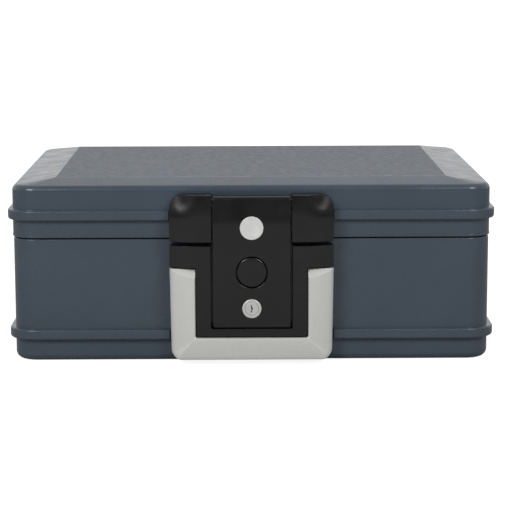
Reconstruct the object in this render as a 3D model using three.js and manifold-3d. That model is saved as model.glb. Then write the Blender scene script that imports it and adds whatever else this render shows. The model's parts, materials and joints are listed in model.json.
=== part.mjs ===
// Fireproof document box: an insulated base and lid, hinged at the back, with a hinged latch
// flap, a push button with its catch, a key lock and a folding carry handle on the front.
// Millimetres, +Z up. The front faces -Y and +X is on the right when facing the front.
// The origin is the centre of the bounding box at floor level.
import * as THREE from 'three';
import { mergeVertices } from 'three/addons/utils/BufferGeometryUtils.js';
import Module from 'manifold-3d';

const wasm = await Module();
wasm.setup();

// ---- driving dimensions -------------------------------------------------------------------
const SHELL_WIDTH = 397;
const SHELL_DEPTH = 290;
const SHELL_HEIGHT = 151;
const PARTING_Z = 103;
const PARTING_GAP = 1.0;
const CORNER_RADIUS = 20;
const WALL = 3;
const GAP = 0.35;
const BASE_INSET = 0.5;

const RIB_PROUD = 4;
const LID_RIB_Z = 118;
const BASE_RIB_Z = 18.4;
const RIB_HEIGHT = 8.6;
const LIP = 0.8;
const TOP_STRIP_SIDE = 35;
const TOP_STRIP_FRONT = 30;
const TOP_STRIP_DROP = 3.9;
const TOP_ROUNDING = 5;
const FLOOR_ROUNDING = 6.5;

const CAVITY_WIDTH = 320;
const CAVITY_DEPTH = 214;
const CAVITY_FLOOR_Z = 32;
const CAVITY_CEILING_Z = 128;
const CAVITY_RADIUS = 12;
const LINER_WALL = 2.5;
const RIM_THICKNESS = 2.6;
const SEAL_INSET = 13;
const SEAL_WIDTH = 10;
const SEAL_DEPTH = 5;

const FRONT_PROUD = 22;
const REAR_PROUD = 12.5;
const HALF_LATCH = 67.4;
const HALF_STEM = 45.7;
const HALF_FLAP = 32.4;
const SEAM = 0.6;
const BLACK_PROUD = 17.6;
const SILVER_PROUD = 20.6;
const FLAP_PROUD = 21.4;
const SIDE_FALL = 7;
const SIDE_FALL_WIDTH = 25;

const HOUSING_BOTTOM_Z = 102.6;
const HOUSING_TOP_Z = 140.8;
const CROSSBAR_BOTTOM_Z = 81.2;
const CROSSBAR_TOP_Z = 99;
const STEM_BOTTOM_Z = 24;
const FLAP_BOTTOM_Z = 31.6;
const FLAP_TOP_Z = 139.9;
const FLAP_WALL = 2.4;
const EAR_PROUD = 19.4;
const FRONT_PIECE_BACK = 0.3;
const CHANNEL_PROUD = 3.3;
const OUT_FRONT = 30;
const OVER_TOP_Z = 160;
const FLAP_PIVOT = { proud: 10, z: 133 };
const FLAP_KNUCKLE_RADIUS = 6.2;

const HANDLE_PIVOT = { proud: 10, z: 70 };
const HANDLE_BOTTOM_Z = 4.6;
const HANDLE_BAR_TOP_Z = 22.9;
const HANDLE_INNER_X = 46.3;
const HANDLE_REACH = 10;
const HANDLE_SPLIT = 11;
const HANDLE_BACK = 2.6;
const HANDLE_PIN_RADIUS = 2.5;
const HANDLE_PIN_X = [37, 58];

const BADGE = { z: 114.6, radius: 9.9 };
const BUTTON = { z: 78, radius: 12.5, travel: 3 };
const LOCK = { z: 48, flange: 7.9, barrel: 7, plug: 5.5 };
const CATCH_TRAVEL = 4;
const CAM_LENGTH = 13.6;
const CATCH_FIN_X = 15.5;
const CAM_FIN_X = 10.2;
const FIN_THICKNESS = 2;

const HINGE_X = 112;
const HINGE_AXIS_OUT = 8;
const HINGE_KNUCKLE_RADIUS = 4.5;
const HINGE_PIN_RADIUS = 2;
const HINGE_WIDTH = 60;
const HINGE_LEAF = 2.5;
const BASE_LEAF_BOTTOM_Z = 78;
const LID_LEAF_TOP_Z = 117;

const FRONT_WALL_Y = FRONT_PROUD - (SHELL_DEPTH + FRONT_PROUD + REAR_PROUD) / 2;
const REAR_WALL_Y = FRONT_WALL_Y + SHELL_DEPTH;
const SHELL_MID_Y = (FRONT_WALL_Y + REAR_WALL_Y) / 2;
const BASE_TOP_Z = PARTING_Z - PARTING_GAP / 2;
const LID_BOTTOM_Z = PARTING_Z + PARTING_GAP / 2;

// A place that stands proud of the shell's front wall, as a Y coordinate.
const front = (proud) => FRONT_WALL_Y - proud;

// ---- materials ----------------------------------------------------------------------------
const finish = (color, roughness, metalness = 0) =>
  new THREE.MeshStandardMaterial({ color, roughness, metalness });
const blueGrey = () => finish(0x454f5b, 0.45);
const blackPlastic = () => finish(0x1c1c1e, 0.4);
const silverPlastic = () => finish(0xb9bab6, 0.35, 0.2);
const innerPlastic = () => finish(0x3a3f45, 0.6);
const cementFill = () => finish(0xb8b2a4, 0.95);
const sealRubber = () => finish(0x2b2b2b, 0.9);
const zincSteel = () => finish(0xb4b6b8, 0.35, 0.9);
const badgeMetal = () => finish(0xcdcdcb, 0.3, 0.6);

// ---- solids from three.js shapes ----------------------------------------------------------
function solid(geometry) {
  geometry.deleteAttribute('normal');
  geometry.deleteAttribute('uv');
  const merged = mergeVertices(geometry, 1e-4);
  return new wasm.Manifold(new wasm.Mesh({
    numProp: 3,
    vertProperties: Float32Array.from(merged.attributes.position.array),
    triVerts: Uint32Array.from(merged.index.array),
  }));
}

const join = (first, ...others) => others.reduce((whole, next) => whole.add(next), first);
const cut = (first, ...others) => others.reduce((whole, next) => whole.subtract(next), first);

function box([x0, x1], [y0, y1], [z0, z1]) {
  const geometry = new THREE.BoxGeometry(x1 - x0, y1 - y0, z1 - z0);
  geometry.translate((x0 + x1) / 2, (y0 + y1) / 2, (z0 + z1) / 2);
  return solid(geometry);
}

// A box on the front of the shell, with its depth given as proud distances.
const frontBox = (xs, [p0, p1], zs) => box(xs, [front(p1), front(p0)], zs);
const middleBox = (halfX, prouds, zs) => frontBox([-halfX, halfX], prouds, zs);

// An outline with its corners rounded: each point is [u, v] or [u, v, radius].
function outline(points) {
  const shape = new THREE.Shape();
  const count = points.length;
  points.forEach(([u, v, radius = 0], i) => {
    const corner = new THREE.Vector2(u, v);
    const before = new THREE.Vector2(...points[(i + count - 1) % count]);
    const after = new THREE.Vector2(...points[(i + 1) % count]);
    const start = corner.clone().add(before.sub(corner).setLength(radius));
    const end = corner.clone().add(after.sub(corner).setLength(radius));
    if (i === 0) shape.moveTo(start.x, start.y);
    else shape.lineTo(start.x, start.y);
    if (radius > 0) shape.quadraticCurveTo(u, v, end.x, end.y);
  });
  return shape;
}

function extrude(shape, depth, curveSegments = 3) {
  return new THREE.ExtrudeGeometry(shape, { depth, bevelEnabled: false, curveSegments });
}

const axes = (u, v, w) => new THREE.Matrix4().makeBasis(
  new THREE.Vector3(...u), new THREE.Vector3(...v), new THREE.Vector3(...w));

// A plan outline (x, y) raised along Z.
function planSolid(shape, z0, z1) {
  const geometry = extrude(shape, z1 - z0);
  geometry.translate(0, 0, z0);
  return solid(geometry);
}

// A front-view outline (x, z) extruded between two proud distances.
function frontSolid(shape, p0, p1, segments) {
  const geometry = extrude(shape, p1 - p0, segments);
  geometry.applyMatrix4(axes([1, 0, 0], [0, 0, 1], [0, -1, 0]));
  geometry.translate(0, front(p0), 0);
  return solid(geometry);
}

// A side-view outline of [proud, z, radius] points extruded along X.
function sideSolid(points, x0, x1) {
  const shape = outline(points.map(([proud, z, radius]) => [front(proud), z, radius]));
  const geometry = extrude(shape, x1 - x0);
  geometry.applyMatrix4(axes([0, 1, 0], [0, 0, 1], [1, 0, 0]));
  geometry.translate(x0, 0, 0);
  return solid(geometry);
}

// A cylinder along Y, on the front of the shell.
function frontDisc(radius, x, z, [p0, p1], segments = 20) {
  const geometry = new THREE.CylinderGeometry(radius, radius, p1 - p0, segments);
  geometry.translate(x, -(front(p0) + front(p1)) / 2, 0);
  geometry.rotateX(Math.PI);
  geometry.translate(0, 0, z);
  return solid(geometry);
}

// A cylinder along X.
function rod(radius, [x0, x1], y, z, segments = 12) {
  const geometry = new THREE.CylinderGeometry(radius, radius, x1 - x0, segments);
  geometry.rotateZ(Math.PI / 2);
  geometry.translate((x0 + x1) / 2, y, z);
  return solid(geometry);
}

// A solid through rounded rectangles at rising heights, each {z, x, y, r}: half sizes and
// corner radius. Every level has the same points, so the walls run from level to level.
function loft(levels, cornerSegments = 3) {
  const unit = new THREE.Shape();
  unit.moveTo(2, 1);
  unit.absarc(1, 1, 1, 0, Math.PI / 2);
  unit.absarc(-1, 1, 1, Math.PI / 2, Math.PI);
  unit.absarc(-1, -1, 1, Math.PI, Math.PI * 1.5);
  unit.absarc(1, -1, 1, Math.PI * 1.5, Math.PI * 2);
  const geometry = new THREE.ExtrudeGeometry(unit, {
    depth: levels.length - 1,
    steps: levels.length - 1,
    bevelEnabled: false,
    curveSegments: cornerSegments,
  });
  const place = geometry.attributes.position;
  for (let i = 0; i < place.count; i += 1) {
    const { z, x, y, r } = levels[Math.round(place.getZ(i))];
    const sideX = Math.sign(place.getX(i));
    const sideY = Math.sign(place.getY(i));
    const alongX = sideX * (x - r) + (place.getX(i) - sideX) * r;
    const alongY = sideY * (y - r) + (place.getY(i) - sideY) * r;
    place.setXYZ(i, alongX, alongY + SHELL_MID_Y, z);
  }
  return solid(geometry);
}

// A level of the shell's outside, drawn in from the full width and depth.
const shellLevel = (z, inset) => ({
  z, x: SHELL_WIDTH / 2 - inset, y: SHELL_DEPTH / 2 - inset, r: CORNER_RADIUS - inset,
});

// A level of the inside, grown out from the storage space.
const cavityLevel = (z, out) => ({
  z, x: CAVITY_WIDTH / 2 + out, y: CAVITY_DEPTH / 2 + out, r: CAVITY_RADIUS + out,
});

const shellBlock = (inset, z0, z1) => loft([shellLevel(z0, inset), shellLevel(z1, inset)]);
const cavityBlock = (out, z0, z1) => loft([cavityLevel(z0, out), cavityLevel(z1, out)]);

// A ring that follows the storage space, between two distances out from it.
const cavityRing = (near, far, z0, z1) =>
  cut(cavityBlock(far, z0, z1), cavityBlock(near, z0 - 1, z1 + 1));

// ---- scene graph --------------------------------------------------------------------------
const documentBox = new THREE.Group();
documentBox.name = 'document_box';

function piece(name, shape, material, parent = documentBox) {
  const { vertProperties, triVerts } = shape.getMesh();
  const geometry = new THREE.BufferGeometry();
  geometry.setAttribute('position', new THREE.BufferAttribute(vertProperties, 3));
  geometry.setIndex(new THREE.BufferAttribute(triVerts, 1));
  geometry.computeVertexNormals();
  const mesh = new THREE.Mesh(geometry, material);
  mesh.name = name;
  parent.add(mesh);
  return mesh;
}

// ---- screws -------------------------------------------------------------------------------
const SCREW = { shaft: 1.5, head: 2.9, headHeight: 1.6, hole: 1.9 };
const SCREW_SEGMENTS = 8;

// A pan-head screw: its head's underside is at the given place and it points along `along`.
function screw(name, length, [x, y, z], along) {
  const { shaft, head, headHeight } = SCREW;
  const profile = [[0, -headHeight], [head * 0.8, -headHeight], [head, -headHeight * 0.4],
    [head, 0], [shaft, 0], [shaft, length - 1], [0, length]];
  const points = profile.map(([radius, height]) => new THREE.Vector2(radius, height));
  const mesh = piece(name, solid(new THREE.LatheGeometry(points, SCREW_SEGMENTS)), zincSteel());
  mesh.position.set(x, y, z);
  mesh.quaternion.setFromUnitVectors(new THREE.Vector3(0, 1, 0), new THREE.Vector3(...along));
}

// The room that a screw along Y needs: its shaft's hole and a wider pocket behind its head.
function screwRoom(x, z, [y0, y1], radius) {
  const geometry = new THREE.CylinderGeometry(radius, radius, y1 - y0, SCREW_SEGMENTS);
  geometry.translate(x, (y0 + y1) / 2, z);
  return solid(geometry);
}

// The places of the screws that hold the front pieces from inside the shell walls.
const HOUSING_SCREWS = [[-58, 109], [58, 109], [-40, 109], [40, 109]];
const PLATE_SCREWS = [[-58, 90], [58, 90], [-40, 34], [40, 34]];
const HINGE_SCREW_X = HINGE_WIDTH / 2 - 9;
const HEAD_ROOM = SCREW.head + 0.5;
const WALL_INSIDE_Y = FRONT_WALL_Y + WALL;

function frontScrewRoom(places) {
  const shafts = places.map(([x, z]) =>
    screwRoom(x, z, [FRONT_WALL_Y - 12, WALL_INSIDE_Y + 1], SCREW.hole));
  const heads = places.map(([x, z]) =>
    screwRoom(x, z, [WALL_INSIDE_Y, WALL_INSIDE_Y + 4], HEAD_ROOM));
  return [...shafts, ...heads];
}

function frontScrews(name, places) {
  places.forEach(([x, z], i) => {
    screw(`${name}_screw_${i + 1}`, 10, [x, WALL_INSIDE_Y + 0.1, z], [0, -1, 0]);
  });
}

// ---- base ---------------------------------------------------------------------------------
// A rib round the shell, as levels from its lower edge to its upper one.
const rib = (z, inset) => [
  shellLevel(z - 0.9, inset),
  shellLevel(z + 0.4, -RIB_PROUD),
  shellLevel(z + RIB_HEIGHT - 0.4, -RIB_PROUD),
  shellLevel(z + RIB_HEIGHT + 0.9, inset),
];

// A flat field for the latch pieces, with no rib on it.
const latchField = (z0, z1) => middleBox(HALF_LATCH + 1.2, [-BASE_INSET, 12], [z0, z1]);

function baseOuterShell() {
  const outside = loft([
    shellLevel(0, FLOOR_ROUNDING),
    shellLevel(1.4, FLOOR_ROUNDING * 0.5),
    shellLevel(4.2, FLOOR_ROUNDING * 0.18),
    shellLevel(FLOOR_ROUNDING, BASE_INSET),
    ...rib(BASE_RIB_Z, BASE_INSET),
    shellLevel(BASE_TOP_Z - 0.9, BASE_INSET),
    shellLevel(BASE_TOP_Z, BASE_INSET + LIP),
  ]);
  const inside = loft([
    shellLevel(WALL + 0.2, FLOOR_ROUNDING),
    shellLevel(FLOOR_ROUNDING, WALL + BASE_INSET),
    shellLevel(BASE_TOP_Z + 1, WALL + BASE_INSET),
  ]);
  return cut(outside, inside, latchField(-1, BASE_TOP_Z + 1), ...frontScrewRoom(PLATE_SCREWS),
    ...hingeScrewRoom(BASE_HINGE_SCREW_Z));
}

const FILL_INSET = WALL + BASE_INSET + GAP;
const SEAL_TOP_Z = BASE_TOP_Z - RIM_THICKNESS;
const SEAL_FLOOR_Z = BASE_TOP_Z - SEAL_DEPTH;

function baseInsulation() {
  const block = loft([
    shellLevel(WALL + 0.6, FLOOR_ROUNDING + GAP),
    shellLevel(FLOOR_ROUNDING, FILL_INSET),
    shellLevel(SEAL_TOP_Z - GAP, FILL_INSET),
  ]);
  const room = cavityBlock(LINER_WALL + GAP, CAVITY_FLOOR_Z - LINER_WALL - GAP, BASE_TOP_Z);
  const sealRoom = cavityRing(SEAL_INSET - 2.5, SEAL_INSET + SEAL_WIDTH + 2.5,
    SEAL_FLOOR_Z - 2 - GAP, BASE_TOP_Z);
  return cut(block, room, sealRoom, ...frontScrewRoom(PLATE_SCREWS),
    ...hingeScrewRoom(BASE_HINGE_SCREW_Z));
}

function baseInnerLiner() {
  const rim = shellBlock(FILL_INSET, SEAL_TOP_Z, BASE_TOP_Z);
  const tub = cavityBlock(LINER_WALL, CAVITY_FLOOR_Z - LINER_WALL, BASE_TOP_Z);
  const channel = cavityRing(SEAL_INSET - 2, SEAL_INSET + SEAL_WIDTH + 2,
    SEAL_FLOOR_Z - 2, BASE_TOP_Z);
  const groove = cavityRing(SEAL_INSET, SEAL_INSET + SEAL_WIDTH, SEAL_FLOOR_Z, BASE_TOP_Z + 1);
  return cut(join(rim, tub, channel), cavityBlock(0, CAVITY_FLOOR_Z, BASE_TOP_Z + 1), groove);
}

function rimGasket() {
  return cavityRing(SEAL_INSET + 0.5, SEAL_INSET + SEAL_WIDTH - 0.5, SEAL_FLOOR_Z + 0.2,
    SEAL_FLOOR_Z + 2.6);
}

// ---- lid ----------------------------------------------------------------------------------
const EDGE_Z = SHELL_HEIGHT - TOP_STRIP_DROP;

// The middle panel of the lid's top, drawn in behind the sloping edge strips.
const panelLevel = (z) => ({
  z, x: SHELL_WIDTH / 2 - TOP_STRIP_SIDE, y: SHELL_DEPTH / 2 - TOP_STRIP_FRONT, r: 3,
});

function lidOuterShell() {
  const outside = loft([
    shellLevel(LID_BOTTOM_Z, LIP),
    shellLevel(LID_BOTTOM_Z + 1.8, 0),
    ...rib(LID_RIB_Z, 0),
    shellLevel(EDGE_Z - TOP_ROUNDING, 0),
    shellLevel(EDGE_Z - TOP_ROUNDING * 0.5, TOP_ROUNDING * 0.14),
    shellLevel(EDGE_Z - TOP_ROUNDING * 0.15, TOP_ROUNDING * 0.48),
    shellLevel(EDGE_Z, TOP_ROUNDING),
    panelLevel(SHELL_HEIGHT),
  ]);
  const inside = loft([
    shellLevel(LID_BOTTOM_Z - 1, WALL + BASE_INSET),
    shellLevel(EDGE_Z - TOP_ROUNDING, WALL + BASE_INSET),
    shellLevel(EDGE_Z - WALL, TOP_ROUNDING + WALL),
    panelLevel(SHELL_HEIGHT - WALL),
  ]);
  return cut(outside, inside, latchField(LID_BOTTOM_Z - 1, EDGE_Z - TOP_ROUNDING),
    ...frontScrewRoom(HOUSING_SCREWS), ...hingeScrewRoom(LID_HINGE_SCREW_Z));
}

const LID_RIM_TOP_Z = LID_BOTTOM_Z + RIM_THICKNESS;

function lidInsulation() {
  const block = loft([
    shellLevel(LID_RIM_TOP_Z + GAP, FILL_INSET),
    shellLevel(EDGE_Z - TOP_ROUNDING, FILL_INSET),
    shellLevel(EDGE_Z - WALL - GAP, TOP_ROUNDING + WALL + GAP),
    panelLevel(SHELL_HEIGHT - WALL - GAP),
  ]);
  const room = cavityBlock(LINER_WALL + GAP, LID_BOTTOM_Z, CAVITY_CEILING_Z + LINER_WALL + GAP);
  return cut(block, room, ...frontScrewRoom(HOUSING_SCREWS),
    ...hingeScrewRoom(LID_HINGE_SCREW_Z));
}

function lidInnerLiner() {
  const rim = shellBlock(FILL_INSET, LID_BOTTOM_Z, LID_RIM_TOP_Z);
  const tray = cavityBlock(LINER_WALL, LID_BOTTOM_Z, CAVITY_CEILING_Z + LINER_WALL);
  const tongue = cavityRing(SEAL_INSET + 1.8, SEAL_INSET + SEAL_WIDTH - 1.8,
    SEAL_FLOOR_Z + 3, LID_BOTTOM_Z + 1);
  return cut(join(rim, tray, tongue), cavityBlock(0, LID_BOTTOM_Z - 1, CAVITY_CEILING_Z));
}

// ---- rear hinges --------------------------------------------------------------------------
const HINGE_AXIS = { y: REAR_WALL_Y + HINGE_AXIS_OUT, z: PARTING_Z };
const HINGE_MIDDLE = 14;
const BASE_HINGE_SCREW_Z = 86;
const LID_HINGE_SCREW_Z = 111;
const REAR_WALL_INSIDE_Y = REAR_WALL_Y - WALL;

const hingeScrewPlaces = () => [-1, 1].flatMap((side) =>
  [-1, 1].map((end) => side * HINGE_X + end * HINGE_SCREW_X));

function hingeScrewRoom(z) {
  return hingeScrewPlaces().flatMap((x) => [
    screwRoom(x, z, [REAR_WALL_INSIDE_Y - 1, REAR_WALL_Y + 1], SCREW.hole),
    screwRoom(x, z, [REAR_WALL_INSIDE_Y - 9, REAR_WALL_INSIDE_Y], SCREW.hole),
  ]);
}

// One half of a hinge about x = 0: a screwed leaf, a web to the axis and its knuckles.
function hingeHalf(knuckles, [leafZ0, leafZ1], webZ, screwZ) {
  const leafFront = REAR_WALL_Y + GAP;
  const half = HINGE_WIDTH / 2;
  const leaf = box([-half, half], [leafFront, leafFront + HINGE_LEAF], [leafZ0, leafZ1]);
  const parts = knuckles.flatMap((xs) => [
    box(xs, [leafFront, HINGE_AXIS.y], webZ),
    rod(HINGE_KNUCKLE_RADIUS, xs, HINGE_AXIS.y, HINGE_AXIS.z, 16),
  ]);
  const bore = rod(HINGE_PIN_RADIUS + GAP, [-half - 1, half + 1], HINGE_AXIS.y, HINGE_AXIS.z);
  const holes = [-1, 1].map((end) => screwRoom(end * HINGE_SCREW_X, screwZ,
    [REAR_WALL_Y - 1, REAR_WALL_Y + 6], SCREW.hole));
  return cut(join(leaf, ...parts), bore, ...holes);
}

function rearHinge(side, label) {
  const half = HINGE_WIDTH / 2;
  const group = new THREE.Group();
  group.position.x = side * HINGE_X;
  documentBox.add(group);
  const bracket = hingeHalf([[-HINGE_MIDDLE, HINGE_MIDDLE]],
    [BASE_LEAF_BOTTOM_Z, BASE_TOP_Z - 1.5],
    [PARTING_Z - HINGE_KNUCKLE_RADIUS, PARTING_Z], BASE_HINGE_SCREW_Z);
  const outer = HINGE_MIDDLE + SEAM;
  const leaf = hingeHalf([[-half, -outer], [outer, half]],
    [LID_BOTTOM_Z + 2.5, LID_LEAF_TOP_Z],
    [PARTING_Z, PARTING_Z + HINGE_KNUCKLE_RADIUS], LID_HINGE_SCREW_Z);
  piece(`base_hinge_bracket_${label}`, bracket, blackPlastic(), group);
  piece(`lid_hinge_leaf_${label}`, leaf, blackPlastic(), group);
  piece(`hinge_pin_${label}`,
    rod(HINGE_PIN_RADIUS, [-half - 0.5, half + 0.5], HINGE_AXIS.y, HINGE_AXIS.z),
    zincSteel(), group);
}

function hingeScrews() {
  const headY = REAR_WALL_Y + GAP + HINGE_LEAF + 0.1;
  hingeScrewPlaces().forEach((x, i) => {
    screw(`base_hinge_screw_${i + 1}`, 12, [x, headY, BASE_HINGE_SCREW_Z], [0, -1, 0]);
    screw(`lid_hinge_screw_${i + 1}`, 12, [x, headY, LID_HINGE_SCREW_Z], [0, -1, 0]);
  });
}

// ---- latch pieces on the front --------------------------------------------------------------
// The plan of a front piece: level in the middle and falling back towards its sides.
function fallingPlan(proud, z0, z1, back) {
  const level = HALF_LATCH - SIDE_FALL_WIDTH;
  return planSolid(outline([
    [-HALF_LATCH, front(back)],
    [-HALF_LATCH, front(proud - SIDE_FALL), 2.5],
    [-level, front(proud), 8],
    [level, front(proud), 8],
    [HALF_LATCH, front(proud - SIDE_FALL), 2.5],
    [HALF_LATCH, front(back)],
  ].reverse()), z0, z1);
}

// The hollows behind the housing's ears, and the room that the flap's back end swings in.
const POCKET_X = [HALF_FLAP + 7, 62];
const POCKET_Z = [116, 137];
const POCKET_PROUD = 7;
const SWING_DROP = 3.5;
const FLAP_PIN_HALF = 47;

function latchHousing() {
  const outlineFront = outline([
    [-HALF_LATCH, HOUSING_BOTTOM_Z, 0.8], [HALF_LATCH, HOUSING_BOTTOM_Z, 0.8],
    [HALF_LATCH, HOUSING_TOP_Z, 12], [-HALF_LATCH, HOUSING_TOP_Z, 12],
  ]);
  const back = FRONT_PIECE_BACK;
  const face = EAR_PROUD;
  const side = sideSolid([
    [back, HOUSING_BOTTOM_Z], [face, HOUSING_BOTTOM_Z, 0.8], [face, HOUSING_TOP_Z - 8, 4],
    [face - 2.6, HOUSING_TOP_Z, 2.5], [back, HOUSING_TOP_Z],
  ], -HALF_LATCH, HALF_LATCH);
  const body = fallingPlan(face, HOUSING_BOTTOM_Z - 1, HOUSING_TOP_Z + 1, back)
    .intersect(frontSolid(outlineFront, back, face + 1, 5))
    .intersect(side);
  const channel = middleBox(HALF_FLAP + SEAM, [CHANNEL_PROUD, OUT_FRONT],
    [HOUSING_BOTTOM_Z - 1, OVER_TOP_Z]);
  const swingRoom = middleBox(HALF_FLAP + SEAM, [-1, OUT_FRONT],
    [FLAP_PIVOT.z - SWING_DROP, OVER_TOP_Z]);
  const pockets = [POCKET_X, [-POCKET_X[1], -POCKET_X[0]]].map((xs) =>
    frontBox(xs, [-1, POCKET_PROUD], POCKET_Z));
  const pinBore = rod(HINGE_PIN_RADIUS + GAP, [-FLAP_PIN_HALF - 1, FLAP_PIN_HALF + 1],
    front(FLAP_PIVOT.proud), FLAP_PIVOT.z);
  const holes = HOUSING_SCREWS.map(([x, z]) =>
    screwRoom(x, z, [front(11), front(-1)], SCREW.hole));
  return cut(body, channel, swingRoom, ...pockets, pinBore, ...holes);
}

// The black plate on the base: a cross bar over a stem, with a channel for the latch flap.
function latchPlate() {
  const back = FRONT_PIECE_BACK - BASE_INSET;
  const outlineFront = outline([
    [-HALF_STEM, STEM_BOTTOM_Z, 2], [HALF_STEM, STEM_BOTTOM_Z, 2],
    [HALF_STEM, CROSSBAR_BOTTOM_Z], [HALF_LATCH, CROSSBAR_BOTTOM_Z, 0.8],
    [HALF_LATCH, CROSSBAR_TOP_Z, 1.2], [-HALF_LATCH, CROSSBAR_TOP_Z, 1.2],
    [-HALF_LATCH, CROSSBAR_BOTTOM_Z, 0.8], [-HALF_STEM, CROSSBAR_BOTTOM_Z],
  ]);
  const body = fallingPlan(BLACK_PROUD, STEM_BOTTOM_Z, CROSSBAR_TOP_Z + 1, back)
    .intersect(frontSolid(outlineFront, back, BLACK_PROUD + 1));
  const channel = middleBox(HALF_FLAP + SEAM, [CHANNEL_PROUD, OUT_FRONT],
    [FLAP_BOTTOM_Z - SEAM, OVER_TOP_Z]);
  const bore = [HANDLE_PIN_X[0] - 1, HALF_STEM + 1];
  const pinBores = [bore, [-bore[1], -bore[0]]].map((xs) =>
    rod(HANDLE_PIN_RADIUS + GAP, xs, front(HANDLE_PIVOT.proud), HANDLE_PIVOT.z));
  const holes = PLATE_SCREWS.map(([x, z]) =>
    screwRoom(x, z, [front(11), front(-1)], SCREW.hole));
  const strikeHoles = STRIKE_SCREWS_Z.map((z) =>
    screwRoom(STRIKE_SCREW_X, z, [front(4), front(0.5)], SCREW.hole));
  return cut(body, channel, ...pinBores, ...holes, ...strikeHoles);
}

const STRIKE_SCREW_X = 22.5;
const STRIKE_SCREWS_Z = [36, 90];
const STRIKE_FLANGE = { back: 3.6, face: 5.2, outerX: 27, topZ: 95 };
const FIN_PROUD = 16.4;
const CATCH_FIN = { z: [70, 87], slot: [74, 82] };
const CAM_FIN = { z: [33, 58], slot: [37.5, 51.6] };
const FIN_SLOT_PROUDS = [8.4, 13.2];

// A steel fin that stands out of the strike's flange, with a slot through its side.
function strikeFin(x, proud, [z0, z1], [slotZ0, slotZ1]) {
  const fin = sideSolid([
    [STRIKE_FLANGE.back, z0], [proud - 3, z0], [proud, z0 + 3, 1], [proud, z1 - 3, 1],
    [proud - 3, z1], [STRIKE_FLANGE.back, z1],
  ], x, x + FIN_THICKNESS);
  const slot = frontBox([x - 1, x + FIN_THICKNESS + 1], FIN_SLOT_PROUDS, [slotZ0, slotZ1]);
  return cut(fin, slot);
}

// The strike: a flange screwed to the plate, with one fin for the catch and one for the cam.
function strikePlate() {
  const { back, face, outerX, topZ } = STRIKE_FLANGE;
  const flange = frontBox([CAM_FIN_X, outerX], [back, face], [FLAP_BOTTOM_Z + SEAM, topZ]);
  const catchFin = strikeFin(CATCH_FIN_X, FIN_PROUD, CATCH_FIN.z, CATCH_FIN.slot);
  const camFin = strikeFin(CAM_FIN_X, FIN_PROUD - 1, CAM_FIN.z, CAM_FIN.slot);
  const holes = STRIKE_SCREWS_Z.map((z) =>
    screwRoom(STRIKE_SCREW_X, z, [front(face + 1), front(back - 1)], SCREW.hole));
  return cut(join(flange, catchFin, camFin), ...holes);
}

// ---- latch flap -----------------------------------------------------------------------------
const FLAP_BACK = 7.2;
const FLAP_PLATE_FACE = 8.6;
const FLAP_FRONT_INSIDE = FLAP_PROUD - FLAP_WALL;
const FLAP_POCKET_TOP_Z = 122;
const FLAP_SCREWS = [[-24, 38], [-24, 112]];
const BADGE_SEAT_DEPTH = 0.8;
const FIN_ROOM_X = [CAM_FIN_X - 1.2, CATCH_FIN_X + FIN_THICKNESS + 1.2];

function flapCover() {
  const knuckleRows = [
    [FLAP_PIVOT.proud - FLAP_KNUCKLE_RADIUS, FLAP_PIVOT.z - FLAP_KNUCKLE_RADIUS, 5],
    [FLAP_PIVOT.proud - FLAP_KNUCKLE_RADIUS, FLAP_PIVOT.z + FLAP_KNUCKLE_RADIUS, 5],
  ];
  const body = sideSolid([
    [FLAP_BACK, FLAP_BOTTOM_Z, 0.6], [FLAP_BACK, FLAP_POCKET_TOP_Z],
    ...knuckleRows,
    [FLAP_PIVOT.proud + 1, FLAP_TOP_Z, 1.5], [FLAP_PROUD - 3.4, FLAP_TOP_Z, 1.6],
    [FLAP_PROUD, FLAP_POCKET_TOP_Z, 6], [FLAP_PROUD, FLAP_BOTTOM_Z, 1],
  ].reverse(), -HALF_FLAP, HALF_FLAP);
  const inner = HALF_FLAP - 2;
  const pocket = middleBox(inner, [0, FLAP_FRONT_INSIDE],
    [FLAP_BOTTOM_Z + FLAP_WALL, FLAP_POCKET_TOP_Z]);
  const finRoom = frontBox(FIN_ROOM_X, [0, FIN_PROUD + 0.8],
    [FLAP_BOTTOM_Z - 1, FLAP_BOTTOM_Z + FLAP_WALL + 1]);
  const through = [FLAP_FRONT_INSIDE - 1, FLAP_PROUD + 1];
  const buttonHole = frontDisc(BUTTON.radius + 0.5, 0, BUTTON.z, through, 28);
  const lockHole = frontDisc(LOCK.barrel + 0.3, 0, LOCK.z, through);
  const lockSeat = frontDisc(LOCK.flange + 0.35, 0, LOCK.z, [FLAP_PROUD - 0.9, through[1]]);
  const badgeSeat = frontDisc(BADGE.radius + 0.3, 0, BADGE.z,
    [FLAP_PROUD - BADGE_SEAT_DEPTH, through[1]], 24);
  const bore = rod(HINGE_PIN_RADIUS + GAP, [-HALF_FLAP - 1, HALF_FLAP + 1],
    front(FLAP_PIVOT.proud), FLAP_PIVOT.z);
  const bosses = FLAP_SCREWS.map(([x, z]) =>
    frontDisc(3.6, x, z, [FLAP_PLATE_FACE + 0.3, FLAP_FRONT_INSIDE + 0.5], 12));
  const bossHoles = FLAP_SCREWS.map(([x, z]) => frontDisc(SCREW.hole, x, z,
    [FLAP_BACK, FLAP_FRONT_INSIDE - 1], SCREW_SEGMENTS));
  const shell = cut(body, pocket, finRoom, buttonHole, lockHole, lockSeat, badgeSeat, bore);
  return cut(join(shell, ...bosses), ...bossHoles);
}

const CATCH = { back: 9.4, face: 12.2, halfHeight: 5, noseHalfHeight: 2.5, window: [-10.2, -4] };
const GUIDE_X = [-24, -14.5];
const GUIDE_ROWS = [[71.2, 72.6], [83.4, 84.8]];

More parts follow.
